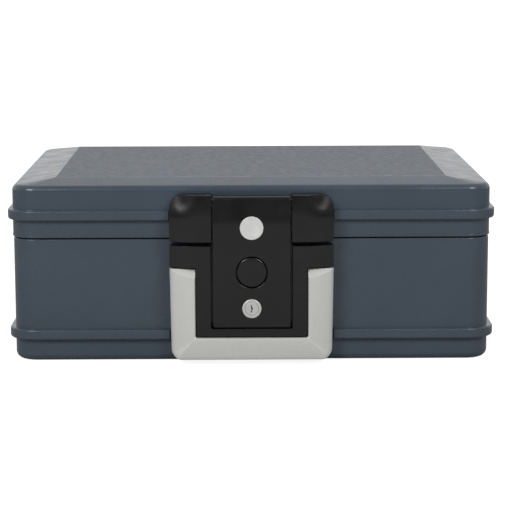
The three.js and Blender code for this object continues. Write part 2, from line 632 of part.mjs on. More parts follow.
// The plate that closes the flap's back, with an open slot for the strike's fin and guide
// ribs above and below the catch.
function flapBackPlate() {
  const plate = middleBox(HALF_FLAP - 2 - GAP, [FLAP_BACK + 0.2, FLAP_PLATE_FACE],
    [FLAP_BOTTOM_Z + FLAP_WALL + GAP, FLAP_POCKET_TOP_Z - GAP]);
  const guides = GUIDE_ROWS.map((zs) =>
    frontBox(GUIDE_X, [FLAP_PLATE_FACE - 0.5, CATCH.face + 0.2], zs));
  const finSlot = frontBox(FIN_ROOM_X, [0, 10], [FLAP_BOTTOM_Z, 88.5]);
  const holes = FLAP_SCREWS.map(([x, z]) =>
    frontDisc(SCREW.hole, x, z, [0, 10], SCREW_SEGMENTS));
  return cut(join(plate, ...guides), finSlot, ...holes);
}

function flapScrews() {
  FLAP_SCREWS.forEach(([x, z], i) => {
    screw(`flap_screw_${i + 1}`, 9, [x, front(FLAP_BACK + 0.1), z], [0, -1, 0]);
  });
}

const badgeDisc = () => frontDisc(BADGE.radius, 0, BADGE.z,
  [FLAP_PROUD - BADGE_SEAT_DEPTH + 0.2, FRONT_PROUD - 0.1], 24);

function lockHousing() {
  const flange = frontDisc(LOCK.flange, 0, LOCK.z, [FLAP_PROUD - 0.7, FRONT_PROUD]);
  const barrel = frontDisc(LOCK.barrel, 0, LOCK.z, [12.6, FLAP_PROUD - 0.5]);
  const bore = frontDisc(LOCK.plug + 0.35, 0, LOCK.z, [12, FRONT_PROUD + 1], 16);
  return cut(join(flange, barrel), bore);
}

function lockNut() {
  const prouds = [15.8, FLAP_FRONT_INSIDE - 0.3];
  return cut(frontDisc(LOCK.barrel + 2.4, 0, LOCK.z, prouds, 6),
    frontDisc(LOCK.barrel + 0.35, 0, LOCK.z, [15, 20]));
}

function lockPlug() {
  const plug = frontDisc(LOCK.plug, 0, LOCK.z, [12.6, FRONT_PROUD - 0.2], 16);
  const keyway = frontBox([-0.8, 0.8], [FRONT_PROUD - 6, FRONT_PROUD + 1],
    [LOCK.z - 3.2, LOCK.z + 3.2]);
  const screwHole = frontDisc(SCREW.hole, 0, LOCK.z, [12, 15.5], SCREW_SEGMENTS);
  return cut(plug, keyway, screwHole);
}

// The cam points down when the lock is open and sideways, into the strike, when it is locked.
const CAM = { back: 10.4, face: 12.3, halfWidth: 2.8 };

function lockCam() {
  const arm = frontBox([-CAM.halfWidth, CAM.halfWidth], [CAM.back, CAM.face],
    [LOCK.z - CAM_LENGTH, LOCK.z]);
  const hub = frontDisc(5, 0, LOCK.z, [CAM.back, CAM.face], 16);
  const hole = frontDisc(SCREW.hole, 0, LOCK.z, [CAM.back - 1, CAM.face + 1], SCREW_SEGMENTS);
  return cut(join(arm, hub), hole);
}

function pushButton() {
  const face = FLAP_PROUD - 0.3;
  const cap = frontDisc(BUTTON.radius, 0, BUTTON.z, [face - 5, face], 28);
  const flange = frontDisc(BUTTON.radius + 1.6, 0, BUTTON.z, [face - 6.4, face - 5.3], 28);
  const neck = frontDisc(BUTTON.radius - 2, 0, BUTTON.z, [face - 6, face - 4.6], 16);
  const [far, near] = [-9.5, -4.5];
  const tip = CATCH.face - BUTTON.travel;
  const wedgePlan = outline([
    [near, front(face - 6)], [far, front(face - 6)], [far, front(CATCH.face)],
    [far + CATCH_TRAVEL, front(tip)], [near, front(tip)],
  ].reverse());
  return join(cap, flange, neck, planSolid(wedgePlan, BUTTON.z - 2, BUTTON.z + 2));
}

// The catch slides sideways: drawn back here, and into the strike's slot when released.
function catchSlide() {
  const { back, face, halfHeight, noseHalfHeight, window } = CATCH;
  const rows = [BUTTON.z - noseHalfHeight, BUTTON.z + noseHalfHeight];
  const bar = frontBox([-22, 6], [back, face], [BUTTON.z - halfHeight, BUTTON.z + halfHeight]);
  const nose = frontBox([5, CATCH_FIN_X - 0.5], [back, face], rows);
  const wedgeWindow = frontBox(window, [back - 1, face + 1], rows);
  return cut(join(bar, nose), wedgeWindow);
}

// A coil spring along Z about the origin, from 0 to its length.
function coilSpring(radius, wire, length, turns) {
  const points = [];
  const steps = turns * 8;
  for (let i = 0; i <= steps; i += 1) {
    const angle = (i / steps) * turns * Math.PI * 2;
    points.push(new THREE.Vector3(radius * Math.cos(angle), radius * Math.sin(angle),
      wire + (length - 2 * wire) * (i / steps)));
  }
  const section = new THREE.Shape().absarc(0, 0, wire, 0, Math.PI * 2);
  return solid(new THREE.ExtrudeGeometry(section, {
    extrudePath: new THREE.CatmullRomCurve3(points), steps, curveSegments: 3,
    bevelEnabled: false,
  }));
}

function springs() {
  const buttonSpring = piece('button_spring', coilSpring(2.4, 0.4, 5.6, 3), zincSteel());
  buttonSpring.position.set(0, front(8.6), BUTTON.z + 9.2);
  buttonSpring.rotation.x = Math.PI / 2;
  const catchSpring = piece('catch_spring', coilSpring(1.7, 0.35, 7.4, 4), zincSteel());
  catchSpring.position.set(-30, front(10.8), BUTTON.z);
  catchSpring.rotation.y = Math.PI / 2;
}

// ---- carry handle ---------------------------------------------------------------------------
// The U of the handle seen from the front, slightly narrower at its foot.
function handleOutline() {
  const foot = HALF_LATCH - 1.2;
  const top = CROSSBAR_BOTTOM_Z - 1.2;
  return outline([
    [-foot, HANDLE_BOTTOM_Z, 8], [foot, HANDLE_BOTTOM_Z, 8], [HALF_LATCH, top],
    [HANDLE_INNER_X, top], [HANDLE_INNER_X, HANDLE_BAR_TOP_Z, 2],
    [-HANDLE_INNER_X, HANDLE_BAR_TOP_Z, 2], [-HANDLE_INNER_X, top], [-HALF_LATCH, top],
  ]);
}

// The handle's side view: its arm ends stay within reach of the pivot, so they clear the
// cross bar as it swings, and its foot falls back like its sides.
function handleSide() {
  const { proud, z } = HANDLE_PIVOT;
  const top = z + HANDLE_REACH - 0.1;
  return sideSolid([
    [HANDLE_BACK, HANDLE_BOTTOM_Z, 2], [SILVER_PROUD - 4, HANDLE_BOTTOM_Z, 3],
    [SILVER_PROUD, HANDLE_BAR_TOP_Z, 3], [SILVER_PROUD, z + 3, 1],
    [proud + 3.4, top, 1], [HANDLE_BACK + 4, top, 3], [HANDLE_BACK - 1.2, z + 4, 4],
    [HANDLE_BACK, z - 8, 3],
  ].reverse(), -HALF_LATCH - 1, HALF_LATCH + 1);
}

function handleBody() {
  return fallingPlan(SILVER_PROUD, 0, 100, 0)
    .intersect(frontSolid(handleOutline(), 0, SILVER_PROUD + 1))
    .intersect(handleSide());
}

const HANDLE_SCREWS = [[-57, 56], [57, 56], [-57, 16], [57, 16]];

const handlePinRoom = () => rod(HANDLE_PIN_RADIUS + GAP,
  [-HANDLE_PIN_X[1] - 2, HANDLE_PIN_X[1] + 2],
  front(HANDLE_PIVOT.proud), HANDLE_PIVOT.z);

function handleFrontCover() {
  const half = middleBox(80, [HANDLE_SPLIT, 30], [0, 100]);
  const holes = HANDLE_SCREWS.map(([x, z]) => frontDisc(SCREW.hole, x, z,
    [HANDLE_SPLIT - 1, HANDLE_SPLIT + 4.5], SCREW_SEGMENTS));
  return cut(handleBody().intersect(half), handlePinRoom(), ...holes);
}

function handleBackFrame() {
  const half = middleBox(80, [-5, HANDLE_SPLIT - 0.3], [0, 100]);
  const holes = HANDLE_SCREWS.flatMap(([x, z]) => [
    frontDisc(SCREW.hole, x, z, [0, HANDLE_SPLIT], SCREW_SEGMENTS),
    frontDisc(HEAD_ROOM, x, z, [0, HANDLE_BACK + 2], SCREW_SEGMENTS),
  ]);
  return cut(handleBody().intersect(half), handlePinRoom(), ...holes);
}

function handleScrews() {
  HANDLE_SCREWS.forEach(([x, z], i) => {
    screw(`handle_screw_${i + 1}`, 10, [x, front(HANDLE_BACK + 1.9), z], [0, -1, 0]);
  });
}

// ---- assembly -------------------------------------------------------------------------------
piece('base_outer_shell', baseOuterShell(), blueGrey());
piece('base_insulation', baseInsulation(), cementFill());
piece('base_inner_liner', baseInnerLiner(), innerPlastic());
piece('rim_gasket', rimGasket(), sealRubber());
piece('lid_outer_shell', lidOuterShell(), blueGrey());
piece('lid_insulation', lidInsulation(), cementFill());
piece('lid_inner_liner', lidInnerLiner(), innerPlastic());

rearHinge(-1, 'left');
rearHinge(1, 'right');
hingeScrews();

piece('latch_housing', latchHousing(), blackPlastic());
piece('flap_hinge_pin', rod(HINGE_PIN_RADIUS, [-FLAP_PIN_HALF, FLAP_PIN_HALF],
  front(FLAP_PIVOT.proud), FLAP_PIVOT.z), zincSteel());
frontScrews('housing', HOUSING_SCREWS);

piece('latch_plate', latchPlate(), blackPlastic());
piece('strike_plate', strikePlate(), zincSteel());
frontScrews('latch_plate', PLATE_SCREWS);
STRIKE_SCREWS_Z.forEach((z, i) => {
  const head = [STRIKE_SCREW_X, front(STRIKE_FLANGE.face + 0.1), z];
  screw(`strike_screw_${i + 1}`, 3.8, head, [0, 1, 0]);
});
piece('handle_pin_left', rod(HANDLE_PIN_RADIUS, [-HANDLE_PIN_X[1], -HANDLE_PIN_X[0]],
  front(HANDLE_PIVOT.proud), HANDLE_PIVOT.z), zincSteel());
piece('handle_pin_right', rod(HANDLE_PIN_RADIUS, HANDLE_PIN_X, front(HANDLE_PIVOT.proud),
  HANDLE_PIVOT.z), zincSteel());

piece('flap_cover', flapCover(), blackPlastic());
piece('flap_back_plate', flapBackPlate(), blackPlastic());
flapScrews();
piece('badge_disc', badgeDisc(), badgeMetal());
piece('lock_housing', lockHousing(), zincSteel());
piece('lock_nut', lockNut(), zincSteel());
piece('push_button', pushButton(), blackPlastic());
piece('catch_slide', catchSlide(), zincSteel());
springs();
piece('lock_plug', lockPlug(), zincSteel());
piece('lock_cam', lockCam(), zincSteel());
screw('cam_screw', 3.6, [0, front(CAM.back - 0.1), LOCK.z], [0, -1, 0]);

piece('handle_front_cover', handleFrontCover(), silverPlastic());
piece('handle_back_frame', handleBackFrame(), silverPlastic());
handleScrews();

export default documentBox;
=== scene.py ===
"""The looks of the fireproof document box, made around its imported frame.

Lengths here are millimetres in the frame's own axes (+Z up, the front faces -Y), and they are
turned to metres when a piece is made. A distance out from the shell's front wall is its
proud distance.
"""

import json
from math import cos, pi, radians, sin, tan

import bmesh
import bpy
from mathutils import Matrix, Vector


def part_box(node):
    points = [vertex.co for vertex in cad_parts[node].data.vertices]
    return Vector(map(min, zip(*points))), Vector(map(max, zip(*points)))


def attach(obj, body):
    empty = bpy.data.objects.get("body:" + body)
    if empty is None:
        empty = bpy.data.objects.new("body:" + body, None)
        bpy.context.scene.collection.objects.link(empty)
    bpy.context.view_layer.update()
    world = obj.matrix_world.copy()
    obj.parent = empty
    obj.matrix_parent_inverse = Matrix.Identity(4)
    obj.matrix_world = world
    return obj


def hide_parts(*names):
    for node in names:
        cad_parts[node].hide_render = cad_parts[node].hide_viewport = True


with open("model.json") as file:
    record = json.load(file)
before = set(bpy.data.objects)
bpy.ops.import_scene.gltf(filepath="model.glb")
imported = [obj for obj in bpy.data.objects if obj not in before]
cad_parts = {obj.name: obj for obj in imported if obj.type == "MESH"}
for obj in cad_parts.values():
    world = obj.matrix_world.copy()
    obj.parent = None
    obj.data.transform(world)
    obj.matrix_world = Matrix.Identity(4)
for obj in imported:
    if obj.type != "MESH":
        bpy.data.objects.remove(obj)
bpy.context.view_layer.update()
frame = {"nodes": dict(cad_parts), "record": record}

MM = 0.001


def node_box(node):
    """A CAD node's lowest and highest corners, in millimetres."""
    low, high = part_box(node)
    return low / MM, high / MM


# ---- sizes read from the frame -----------------------------------------------------------------
RIB_PROUD = 4.0
LID_LOW, LID_HIGH = node_box("lid_outer_shell")
BASE_TOP_Z = node_box("base_outer_shell")[1].z
LID_BOTTOM_Z = LID_LOW.z
LID_TOP_Z = LID_HIGH.z
HALF_WIDTH = LID_HIGH.x - RIB_PROUD
FRONT_Y = LID_LOW.y + RIB_PROUD
REAR_Y = LID_HIGH.y - RIB_PROUD
MID_Y = (FRONT_Y + REAR_Y) / 2
HALF_DEPTH = (REAR_Y - FRONT_Y) / 2
PARTING_Z = (BASE_TOP_Z + LID_BOTTOM_Z) / 2

# ---- sizes of the shell ------------------------------------------------------------------------
CORNER_RADIUS = 20.0
WALL = 3.5
BASE_WALL = -0.5  # the base's wall stands back from the lid's
RIB_HEIGHT = 8.6
LID_RIB_Z = 118.0
BASE_RIB_Z = 18.4
BAND_PROUD = 0.35
BAND_TOP_Z = LID_BOTTOM_Z + 2.1
TOP_ROUNDING = 5.0
FLOOR_ROUNDING = 6.0
EDGE_Z = LID_TOP_Z - 3.9
STRIP_SIDE = 35.0
STRIP_FRONT = 26.8
LATCH_FIELD = 68.0

CAVITY_X = 160.0
CAVITY_Y = 107.0
CAVITY_RADIUS = 12.0
CAVITY_FLOOR_Z = 32.0
CAVITY_CEILING_Z = 128.0
LINER_WALL = 2.5
RIM_INSET = 3.85
RIM_THICKNESS = 2.6
SEAL_NEAR = 13.0
SEAL_FAR = 23.0
SEAL_FLOOR_Z = BASE_TOP_Z - 5.0

# ---- sizes of the latch and the handle ---------------------------------------------------------
HALF_LATCH = 67.4
HALF_STEM = 45.7
HALF_FLAP = 32.4
SEAM = 0.6
SEAM_SPARE = 0.6  # widens the seam round the flap, as far as it looks in the picture
LEVEL_HALF = 42.4
SIDE_FALL = 7.0
EAR_PROUD = 19.4
PLATE_PROUD = 17.6
FLAP_PROUD = 21.4
SILVER_PROUD = 20.6
HOUSING_Z = (102.6, 140.8)
EAR_RADIUS = 12.0
EAR_ROWS = 12
EAR_COLUMNS = 14
FRONT_GAP = 0.3
CHANNEL_FLOOR = 3.3
CORNER_FALL = 5.5
CORNER_FALL_REACH = 18.0
CORNER_FALL_X = (44.0, 60.0)
TOP_FALL = 1.0
CROSSBAR_Z = (81.2, 99.0)
STEM_BOTTOM_Z = 24.0
FLAP_Z = (31.6, 139.9)
FLAP_BEND_Z = 122.0
FLAP_BEND_RADIUS = 56.0
FLAP_TOP_FALL = 3.4
FLAP_SIDE_WALL = 2.0
FLAP_FOOT_RADIUS = 2.2
FLAP_BACK = 7.2
FLAP_WALL = 2.4
PIVOT_PROUD = 10.0
FLAP_PIVOT_Z = 133.0
HANDLE_PIVOT_Z = 70.0
KNUCKLE_RADIUS = 6.2
PIN_ROOM = 2.85
PIN_BOSS = 4.6
PIN_BOSS_CHAMFER = 0.15
SCREW_HOLE = 1.9
BADGE_Z = 114.6
BADGE_RADIUS = 9.6
BUTTON_Z = 78.0
BUTTON_RADIUS = 12.5
BUTTON_RIM = 1.3
BUTTON_FLANGE = 1.6
LOCK_Z = 48.0
LOCK_FLANGE = 7.9
LOCK_BARREL = 7.0
LOCK_PLUG = 5.5
HANDLE_INNER_X = 46.3
HANDLE_BAR_Z = (4.6, 22.9)
HANDLE_TOP_Z = 79.9
HANDLE_SPLIT = 11.0
HANDLE_BACK = 2.6
HANDLE_CROWN = 7.0

# ---- sizes of the rear hinges ------------------------------------------------------------------
HINGE_X = 112.0
HINGE_AXIS_Y = REAR_Y + 8.0
HINGE_HALF = 30.0
HINGE_MIDDLE = 14.0
HINGE_LEAF = 2.5
HINGE_KNUCKLE = 4.5
HINGE_BORE = 2.35
HINGE_SCREW_X = 21.0
BASE_HINGE_SCREW_Z = 86.0
LID_HINGE_SCREW_Z = 111.0
BASE_HINGE_FOOT_Z = 78.0
LID_HINGE_TOP_Z = 117.0


# ---- the camera, lights and floor --------------------------------------------------------------
FOCAL_PIXELS = 1860
IMAGE_WIDTH = 510
SENSOR = 36.0
CAMERA_AT = Vector((-8.8, FRONT_Y - 1515, 343.6))
PITCH, YAW, ROLL = radians(9.54), radians(0.441), radians(-0.17)


def add_object(name, data):
    thing = bpy.data.objects.new(name, data)
    bpy.context.scene.collection.objects.link(thing)
    return thing


def add_camera():
    """The camera that the picture was taken with, as fitted to the box's edges."""
    data = bpy.data.cameras.new("camera")
    data.sensor_width = SENSOR
    data.lens = FOCAL_PIXELS / IMAGE_WIDTH * SENSOR
    data.clip_end = 100
    camera = add_object("camera", data)
    forward = Vector((sin(YAW) * cos(PITCH), cos(YAW) * cos(PITCH), -sin(PITCH)))
    right = Vector((cos(YAW), -sin(YAW), 0))
    up = right.cross(forward)
    turned_right = right * cos(ROLL) + up * sin(ROLL)
    turned_up = up * cos(ROLL) - right * sin(ROLL)
    turn = Matrix((turned_right, turned_up, -forward)).transposed().to_4x4()
    camera.matrix_world = Matrix.Translation(CAMERA_AT * MM) @ turn
    bpy.context.scene.camera = camera


def add_softbox(name, place, size, power):
    """A square area lamp that faces the middle of the box's front. Place and size are metres."""
    data = bpy.data.lights.new(name, "AREA")
    data.size = size
    data.energy = power
    lamp = add_object(name, data)
    aim = Vector((0, MID_Y * MM, PARTING_Z * MM)) - Vector(place)
    lamp.rotation_euler = aim.to_track_quat("-Z", "Y").to_euler()
    lamp.location = place


def add_lamps():
    bpy.context.scene.view_settings.view_transform = "Standard"
    for label, side, power in (("left", -1, 11.7), ("right", 1, 8.9)):
        add_softbox(f"lamp_{label}", (side * 0.73, -1.14, 0.94), 0.6, power)


def add_room():
    """A white room, dimmer behind the camera and overhead, and plain white to the camera."""
    world = bpy.data.worlds.new("studio")
    world.use_nodes = True
    bpy.context.scene.world = world
    tree = world.node_tree
    direction = tree.nodes.new("ShaderNodeTexCoord").outputs["Generated"]
    split = tree.nodes.new("ShaderNodeSeparateXYZ")
    tree.links.new(direction, split.inputs[0])

    def ramp(axis, start, end, first, last):
        """A soft step in the room's brightness along one axis of the direction looked in."""
        step = tree.nodes.new("ShaderNodeMapRange")
        step.interpolation_type = "SMOOTHSTEP"
        for name, value in (("From Min", start), ("From Max", end), ("To Min", first),
                            ("To Max", last)):
            step.inputs[name].default_value = value
        tree.links.new(split.outputs[axis], step.inputs["Value"])
        return step.outputs[0]

    room = tree.nodes.new("ShaderNodeMath")
    room.operation = "MULTIPLY"
    tree.links.new(ramp("Y", -0.7, 0.5, 0.2, 1.0), room.inputs[0])
    tree.links.new(ramp("Z", 0.24, 0.42, 1.0, 0.7), room.inputs[1])
    background = tree.nodes["Background"]
    background.inputs["Color"].default_value = (1, 1, 1, 1)
    seen = tree.nodes.new("ShaderNodeLightPath").outputs["Is Camera Ray"]
    brightest = tree.nodes.new("ShaderNodeMath")
    brightest.operation = "MAXIMUM"
    tree.links.new(room.outputs[0], brightest.inputs[0])
    tree.links.new(seen, brightest.inputs[1])
    tree.links.new(brightest.outputs[0], background.inputs["Strength"])


def add_floor():
    """Pale paper that the camera sees as white, so that the box stands on a plain ground."""
    floor_mesh = bmesh.new()
    bmesh.ops.create_grid(floor_mesh, x_segments=2, y_segments=2, size=40)
    data = bpy.data.meshes.new("floor")
    floor_mesh.to_mesh(data)
    floor_mesh.free()
    floor = add_object("floor", data)
    floor.location.z = -0.0004
    paper = bpy.data.materials.new("floor_paper")
    paper.use_nodes = True
    nodes, links = paper.node_tree.nodes, paper.node_tree.links
    surface = nodes["Principled BSDF"]
    surface.inputs["Base Color"].default_value = (0.42, 0.42, 0.42, 1)
    surface.inputs["Roughness"].default_value = 0.9
    surface.inputs["Emission Color"].default_value = (1, 1, 1, 1)
    glow = nodes.new("ShaderNodeMath")
    glow.operation = "MULTIPLY"
    glow.inputs[1].default_value = 0.9
    links.new(nodes.new("ShaderNodeLightPath").outputs["Is Camera Ray"], glow.inputs[0])
    links.new(glow.outputs[0], surface.inputs["Emission Strength"])
    data.materials.append(paper)


# ---- materials ---------------------------------------------------------------------------------
class Finish:
    """A node material being made: a principled surface and the nodes that feed it."""

    def __init__(self, name, **constants):
        self.material = bpy.data.materials.new(name)
        self.material.use_nodes = True
        self.tree = self.material.node_tree
        self.surface = self.tree.nodes["Principled BSDF"]
        self.place = self.node("ShaderNodeTexCoord").outputs["Object"]
        for socket, value in constants.items():
            self.surface.inputs[socket.replace("_", " ")].default_value = value

    def node(self, kind, settings=None, **inputs):
        made = self.tree.nodes.new(kind)
        for name, value in (settings or {}).items():
            setattr(made, name, value)
        for name, value in inputs.items():
            socket = made.inputs[name.replace("_", " ")]
            if isinstance(value, bpy.types.NodeSocket):
                self.tree.links.new(value, socket)
            else:
                socket.default_value = value
        return made

    def feed(self, name, value):
        self.tree.links.new(value, self.surface.inputs[name])

    def noise(self, size, detail=3.0, stretch=(1, 1, 1), rough=0.5):
        """Noise from 0 to 1 whose features are about size millimetres across."""
        place = self.node("ShaderNodeMapping", Vector=self.place, Scale=stretch)
        made = self.node("ShaderNodeTexNoise", Vector=place.outputs[0], Scale=1 / (size * MM),
                         Detail=detail, Roughness=rough)
        return made.outputs["Fac"]

    def spread(self, value, low, high, start=0.3, end=0.7):
        made = self.node("ShaderNodeMapRange", Value=value, From_Min=start, From_Max=end,
                         To_Min=low, To_Max=high)
        return made.outputs[0]

    def mix(self, factor, first, second):
        made = self.tree.nodes.new("ShaderNodeMix")
        made.data_type = "RGBA"
        for index, value in ((0, factor), (6, first), (7, second)):
            if isinstance(value, bpy.types.NodeSocket):
                self.tree.links.new(value, made.inputs[index])
            else:
                made.inputs[index].default_value = value
        return made.outputs[2]

    def edges(self, start=0.52, end=0.62):
        """From 0 on flat ground to 1 on sharp outer edges."""
        bend = self.node("ShaderNodeNewGeometry").outputs["Pointiness"]
        return self.spread(bend, 0.0, 1.0, start, end)

    def bump(self, height, depth, under=None):
        """A bump whose full height is depth millimetres, laid over another one."""
        made = self.node("ShaderNodeBump", Height=height, Distance=depth * MM, Strength=1.0)
        if under is not None:
            self.tree.links.new(under, made.inputs["Normal"])
        return made.outputs["Normal"]


def shade(colour, factor):
    """A colour made lighter or darker, with its alpha."""
    return (*(c * factor for c in colour), 1)


def moulded(name, colour, roughness, grain, depth, wear=1.5, cloud=0.07, **constants):
    """Moulded plastic: slightly cloudy colour, the mould's fine grain, and rubbed edges."""
    finish = Finish(name, **constants)
    clouds = finish.spread(finish.noise(60, 2.0), 0, 1)
    body = finish.mix(clouds, shade(colour, 1 - cloud), shade(colour, 1 + cloud))
    rubbed = finish.node("ShaderNodeMath", {"operation": "MULTIPLY"})
    finish.tree.links.new(finish.edges(), rubbed.inputs[0])
    finish.tree.links.new(finish.spread(finish.noise(9, 4.0), 0.1, 0.6), rubbed.inputs[1])
    finish.feed("Base Color", finish.mix(rubbed.outputs[0], body, shade(colour, wear)))
    fine = finish.noise(grain, 4.0)
    finish.feed("Roughness", finish.spread(finish.noise(14, 4.0), roughness - 0.04,
                                           roughness + 0.05))
    scuffs = finish.bump(finish.noise(3.5, 5.0, (1, 1, 0.4), 0.6), depth * 0.14)
    finish.feed("Normal", finish.bump(fine, depth, scuffs))
    return finish.material


def pebbled(name, colour, roughness):
    """The lid's middle panel: the shell's plastic with a coarse leather-like grain, its pebble
    tops painted lighter as a painted highlight and its creases left darker as painted shade.
    """
    finish = Finish(name)
    cells = finish.node("ShaderNodeTexVoronoi", {"feature": "SMOOTH_F1"}, Vector=finish.place,
                        Scale=1 / (2.6 * MM), Smoothness=0.5)
    height = cells.outputs["Distance"]
    clouds = finish.spread(finish.noise(40, 3.0), 0, 1)
    body = finish.mix(clouds, shade(colour, 0.94), shade(colour, 1.06))
    # painted light and shade: the pebble tops get a lighter colour and the creases between them
    # keep the plain colour
    tone = finish.spread(height, 0.0, 1.0, 0.1, 0.7)
    finish.feed("Base Color", finish.mix(tone, shade(colour, 1.12), body))
    finish.feed("Roughness", finish.spread(finish.noise(6, 5.0), roughness - 0.06,
                                           roughness + 0.06))
    coarse = finish.bump(height, -0.12)
    finish.feed("Normal", finish.bump(finish.noise(0.9, 4.0), 0.05, coarse))
    return finish.material


def painted_silver(name, colour, roughness):
    """Plastic painted silver: fine flakes in the paint and rubbed edges."""
    finish = Finish(name, Metallic=0.1, Coat_Weight=0.1, Coat_Roughness=0.25)
    flakes = finish.node("ShaderNodeTexVoronoi", Vector=finish.place, Scale=1 / (0.35 * MM))
    sparkle = finish.node("ShaderNodeSeparateColor", Color=flakes.outputs["Color"])
    tone = finish.spread(sparkle.outputs[0], 0, 1, 0, 1)
    body = finish.mix(tone, shade(colour, 0.93), shade(colour, 1.07))
    rubbed = finish.spread(finish.noise(8, 4.0), 0, 0.5)
    edge = finish.node("ShaderNodeMath", {"operation": "MULTIPLY"})
    finish.tree.links.new(rubbed, edge.inputs[0])
    finish.tree.links.new(finish.edges(), edge.inputs[1])
    finish.feed("Base Color", finish.mix(edge.outputs[0], body, shade(colour, 0.8)))
    finish.feed("Roughness", finish.spread(finish.noise(11, 4.0), roughness - 0.05,
                                           roughness + 0.05))
    finish.feed("Normal", finish.bump(finish.noise(0.5, 3.0), 0.008))
    return finish.material


def metal(name, colour, roughness, brush, depth, tarnish=0.85, metallic=1.0):
    """Bare metal with a brushed or tumbled grain, darker in random patches and lighter on its worn
    edges.
    """
    finish = Finish(name, Metallic=metallic)
    clouds = finish.spread(finish.noise(5, 5.0), 0, 1)
    body = finish.mix(clouds, shade(colour, tarnish), shade(colour, 1.0))
    finish.feed("Base Color", finish.mix(finish.edges(), body, shade(colour, 1.08)))
    lines = finish.noise(0.5, 3.0, brush)
    finish.feed("Roughness", finish.spread(lines, roughness - 0.06, roughness + 0.08))
    finish.feed("Normal", finish.bump(lines, depth))
    return finish.material


def mineral(name, colour, size, depth, roughness):
    """Poured fill or foamed rubber: a dull surface full of small pores, each pore darkened with
    painted shade.
    """
    finish = Finish(name)
    pores = finish.node("ShaderNodeTexVoronoi", Vector=finish.place, Scale=1 / (size * MM))
    pore_depth_and_shade = finish.spread(pores.outputs["Distance"], 0, 1, 0.05, 0.5)
    clouds = finish.spread(finish.noise(size * 8, 4.0), 0, 1)
    body = finish.mix(clouds, shade(colour, 0.85), shade(colour, 1.1))
    # painted shade: the pores are coloured darker, as shade would fall in them
    finish.feed("Base Color", finish.mix(pore_depth_and_shade, shade(colour, 0.7), body))
    finish.feed("Roughness", finish.spread(clouds, roughness - 0.05, roughness + 0.04, 0, 1))
    finish.feed("Normal", finish.bump(pore_depth_and_shade, depth))
    return finish.material


SHELL_COLOUR = (0.046, 0.064, 0.086)
MATERIALS = {
    "shell_plastic": moulded("blue_grey_plastic", SHELL_COLOUR, 0.25, 0.8, 0.0025),
    "black_plastic": moulded("black_plastic", (0.002, 0.0019, 0.0023), 0.23, 0.6, 0.005, 3.0,
                              Specular_IOR_Level=0.58),
    "silver_plastic": painted_silver("silver_paint", (0.6, 0.607, 0.578), 0.36),
    "inner_plastic": moulded("liner_plastic", (0.04, 0.044, 0.05), 0.5, 1.2, 0.03),
    "insulation": mineral("mineral_fill", (0.48, 0.45, 0.39), 1.5, 0.3, 0.94),
    "seal": mineral("foam_rubber", (0.02, 0.02, 0.021), 0.5, 0.08, 0.85),
    "steel": metal("zinc_steel", (0.58, 0.59, 0.6), 0.3, (1, 1, 12), 0.006),
    "lock_metal": metal("lock_chrome", (0.62, 0.62, 0.61), 0.34, (1, 1, 1), 0.01, 0.92, 0.3),
    "badge": metal("badge_aluminium", (0.7, 0.7, 0.69), 0.38, (1, 1, 16), 0.004, 0.97, 0.2),
}
PEBBLED = pebbled("pebbled_plastic", SHELL_COLOUR, 0.465)

SLOT_OF = {part["node"]: part["material_slot"] for part in frame["record"]["subparts"]}
BODY_OF = {node: body for body, nodes in frame["record"]["behaviour"]["bodies"].items()
           for node in nodes}


# ---- mesh tools --------------------------------------------------------------------------------
def skin(loops, ring=False):
    """A closed mesh over loops of equal length: capped at both ends, or closed into a ring."""
    mesh = bmesh.new()
    rows = [[mesh.verts.new(point) for point in loop] for loop in loops]
    pairs = list(zip(rows, rows[1:]))
    if ring:
        pairs.append((rows[-1], rows[0]))
    else:
        mesh.faces.new(rows[0])
        mesh.faces.new(rows[-1])
    for low, high in pairs:
        for i in range(len(low)):
            mesh.faces.new((low[i - 1], low[i], high[i], high[i - 1]))
    face_outward(mesh)
    return mesh


def face_outward(mesh):
    bmesh.ops.recalc_face_normals(mesh, faces=mesh.faces)
    if mesh.calc_volume(signed=True) < 0:
        bmesh.ops.reverse_faces(mesh, faces=mesh.faces)


def arc(centre, radius, start, end, steps):
    """Points of a circle's stretch from one angle to another, in degrees."""
    angles = [radians(start + (end - start) * k / steps) for k in range(steps + 1)]
    return [(centre[0] + radius * cos(a), centre[1] + radius * sin(a)) for a in angles]


def rounded(points, steps=6):
    """A polygon with its corners turned to arcs: each point is (u, v) or (u, v, radius)."""
    path = []
    for i, point in enumerate(points):
        corner = Vector(point[:2])
        radius = point[2] if len(point) > 2 else 0
        if radius == 0:
            path.append(corner)
            continue
        before = (Vector(points[i - 1][:2]) - corner).normalized()
        after = (Vector(points[(i + 1) % len(points)][:2]) - corner).normalized()
        half = before.angle(after) / 2
        centre = corner + (before + after).normalized() * radius / sin(half)
        start = corner + before * radius / tan(half) - centre
        end = corner + after * radius / tan(half) - centre
        path += [centre + start.slerp(end, k / steps) * radius for k in range(steps + 1)]
    return path


def prism(points, low, high, axis):
    """An outline pushed along an axis: a plan (x, proud) along z, a front view (x, z) along
    the proud distance, or a side view (proud, z) along x."""
    place = {
        "z": lambda u, v, w: (u, FRONT_Y - v, w),
        "proud": lambda u, v, w: (u, FRONT_Y - w, v),
        "x": lambda u, v, w: (w, FRONT_Y - u, v),
    }[axis]
    return skin([[place(u, v, w) for u, v in points] for w in (low, high)])


def block(xs, prouds, zs):
    """A box between pairs of x, proud distance and z."""
    (x0, x1), (z0, z1) = xs, zs
    return prism([(x0, z0), (x1, z0), (x1, z1), (x0, z1)], *prouds, "proud")


def turned(profile, x, z, steps=48):
    """A lathed solid on the front: its profile is (radius, proud) from back to face."""
    angles = [2 * pi * k / steps for k in range(steps)]
    return skin([[(x + r * cos(a), FRONT_Y - proud, z + r * sin(a)) for a in angles]
                 for r, proud in profile])


def disc(radius, x, z, prouds, steps=48):
    """A round plug on the front, between two proud distances."""
    return turned([(radius, proud) for proud in prouds], x, z, steps)


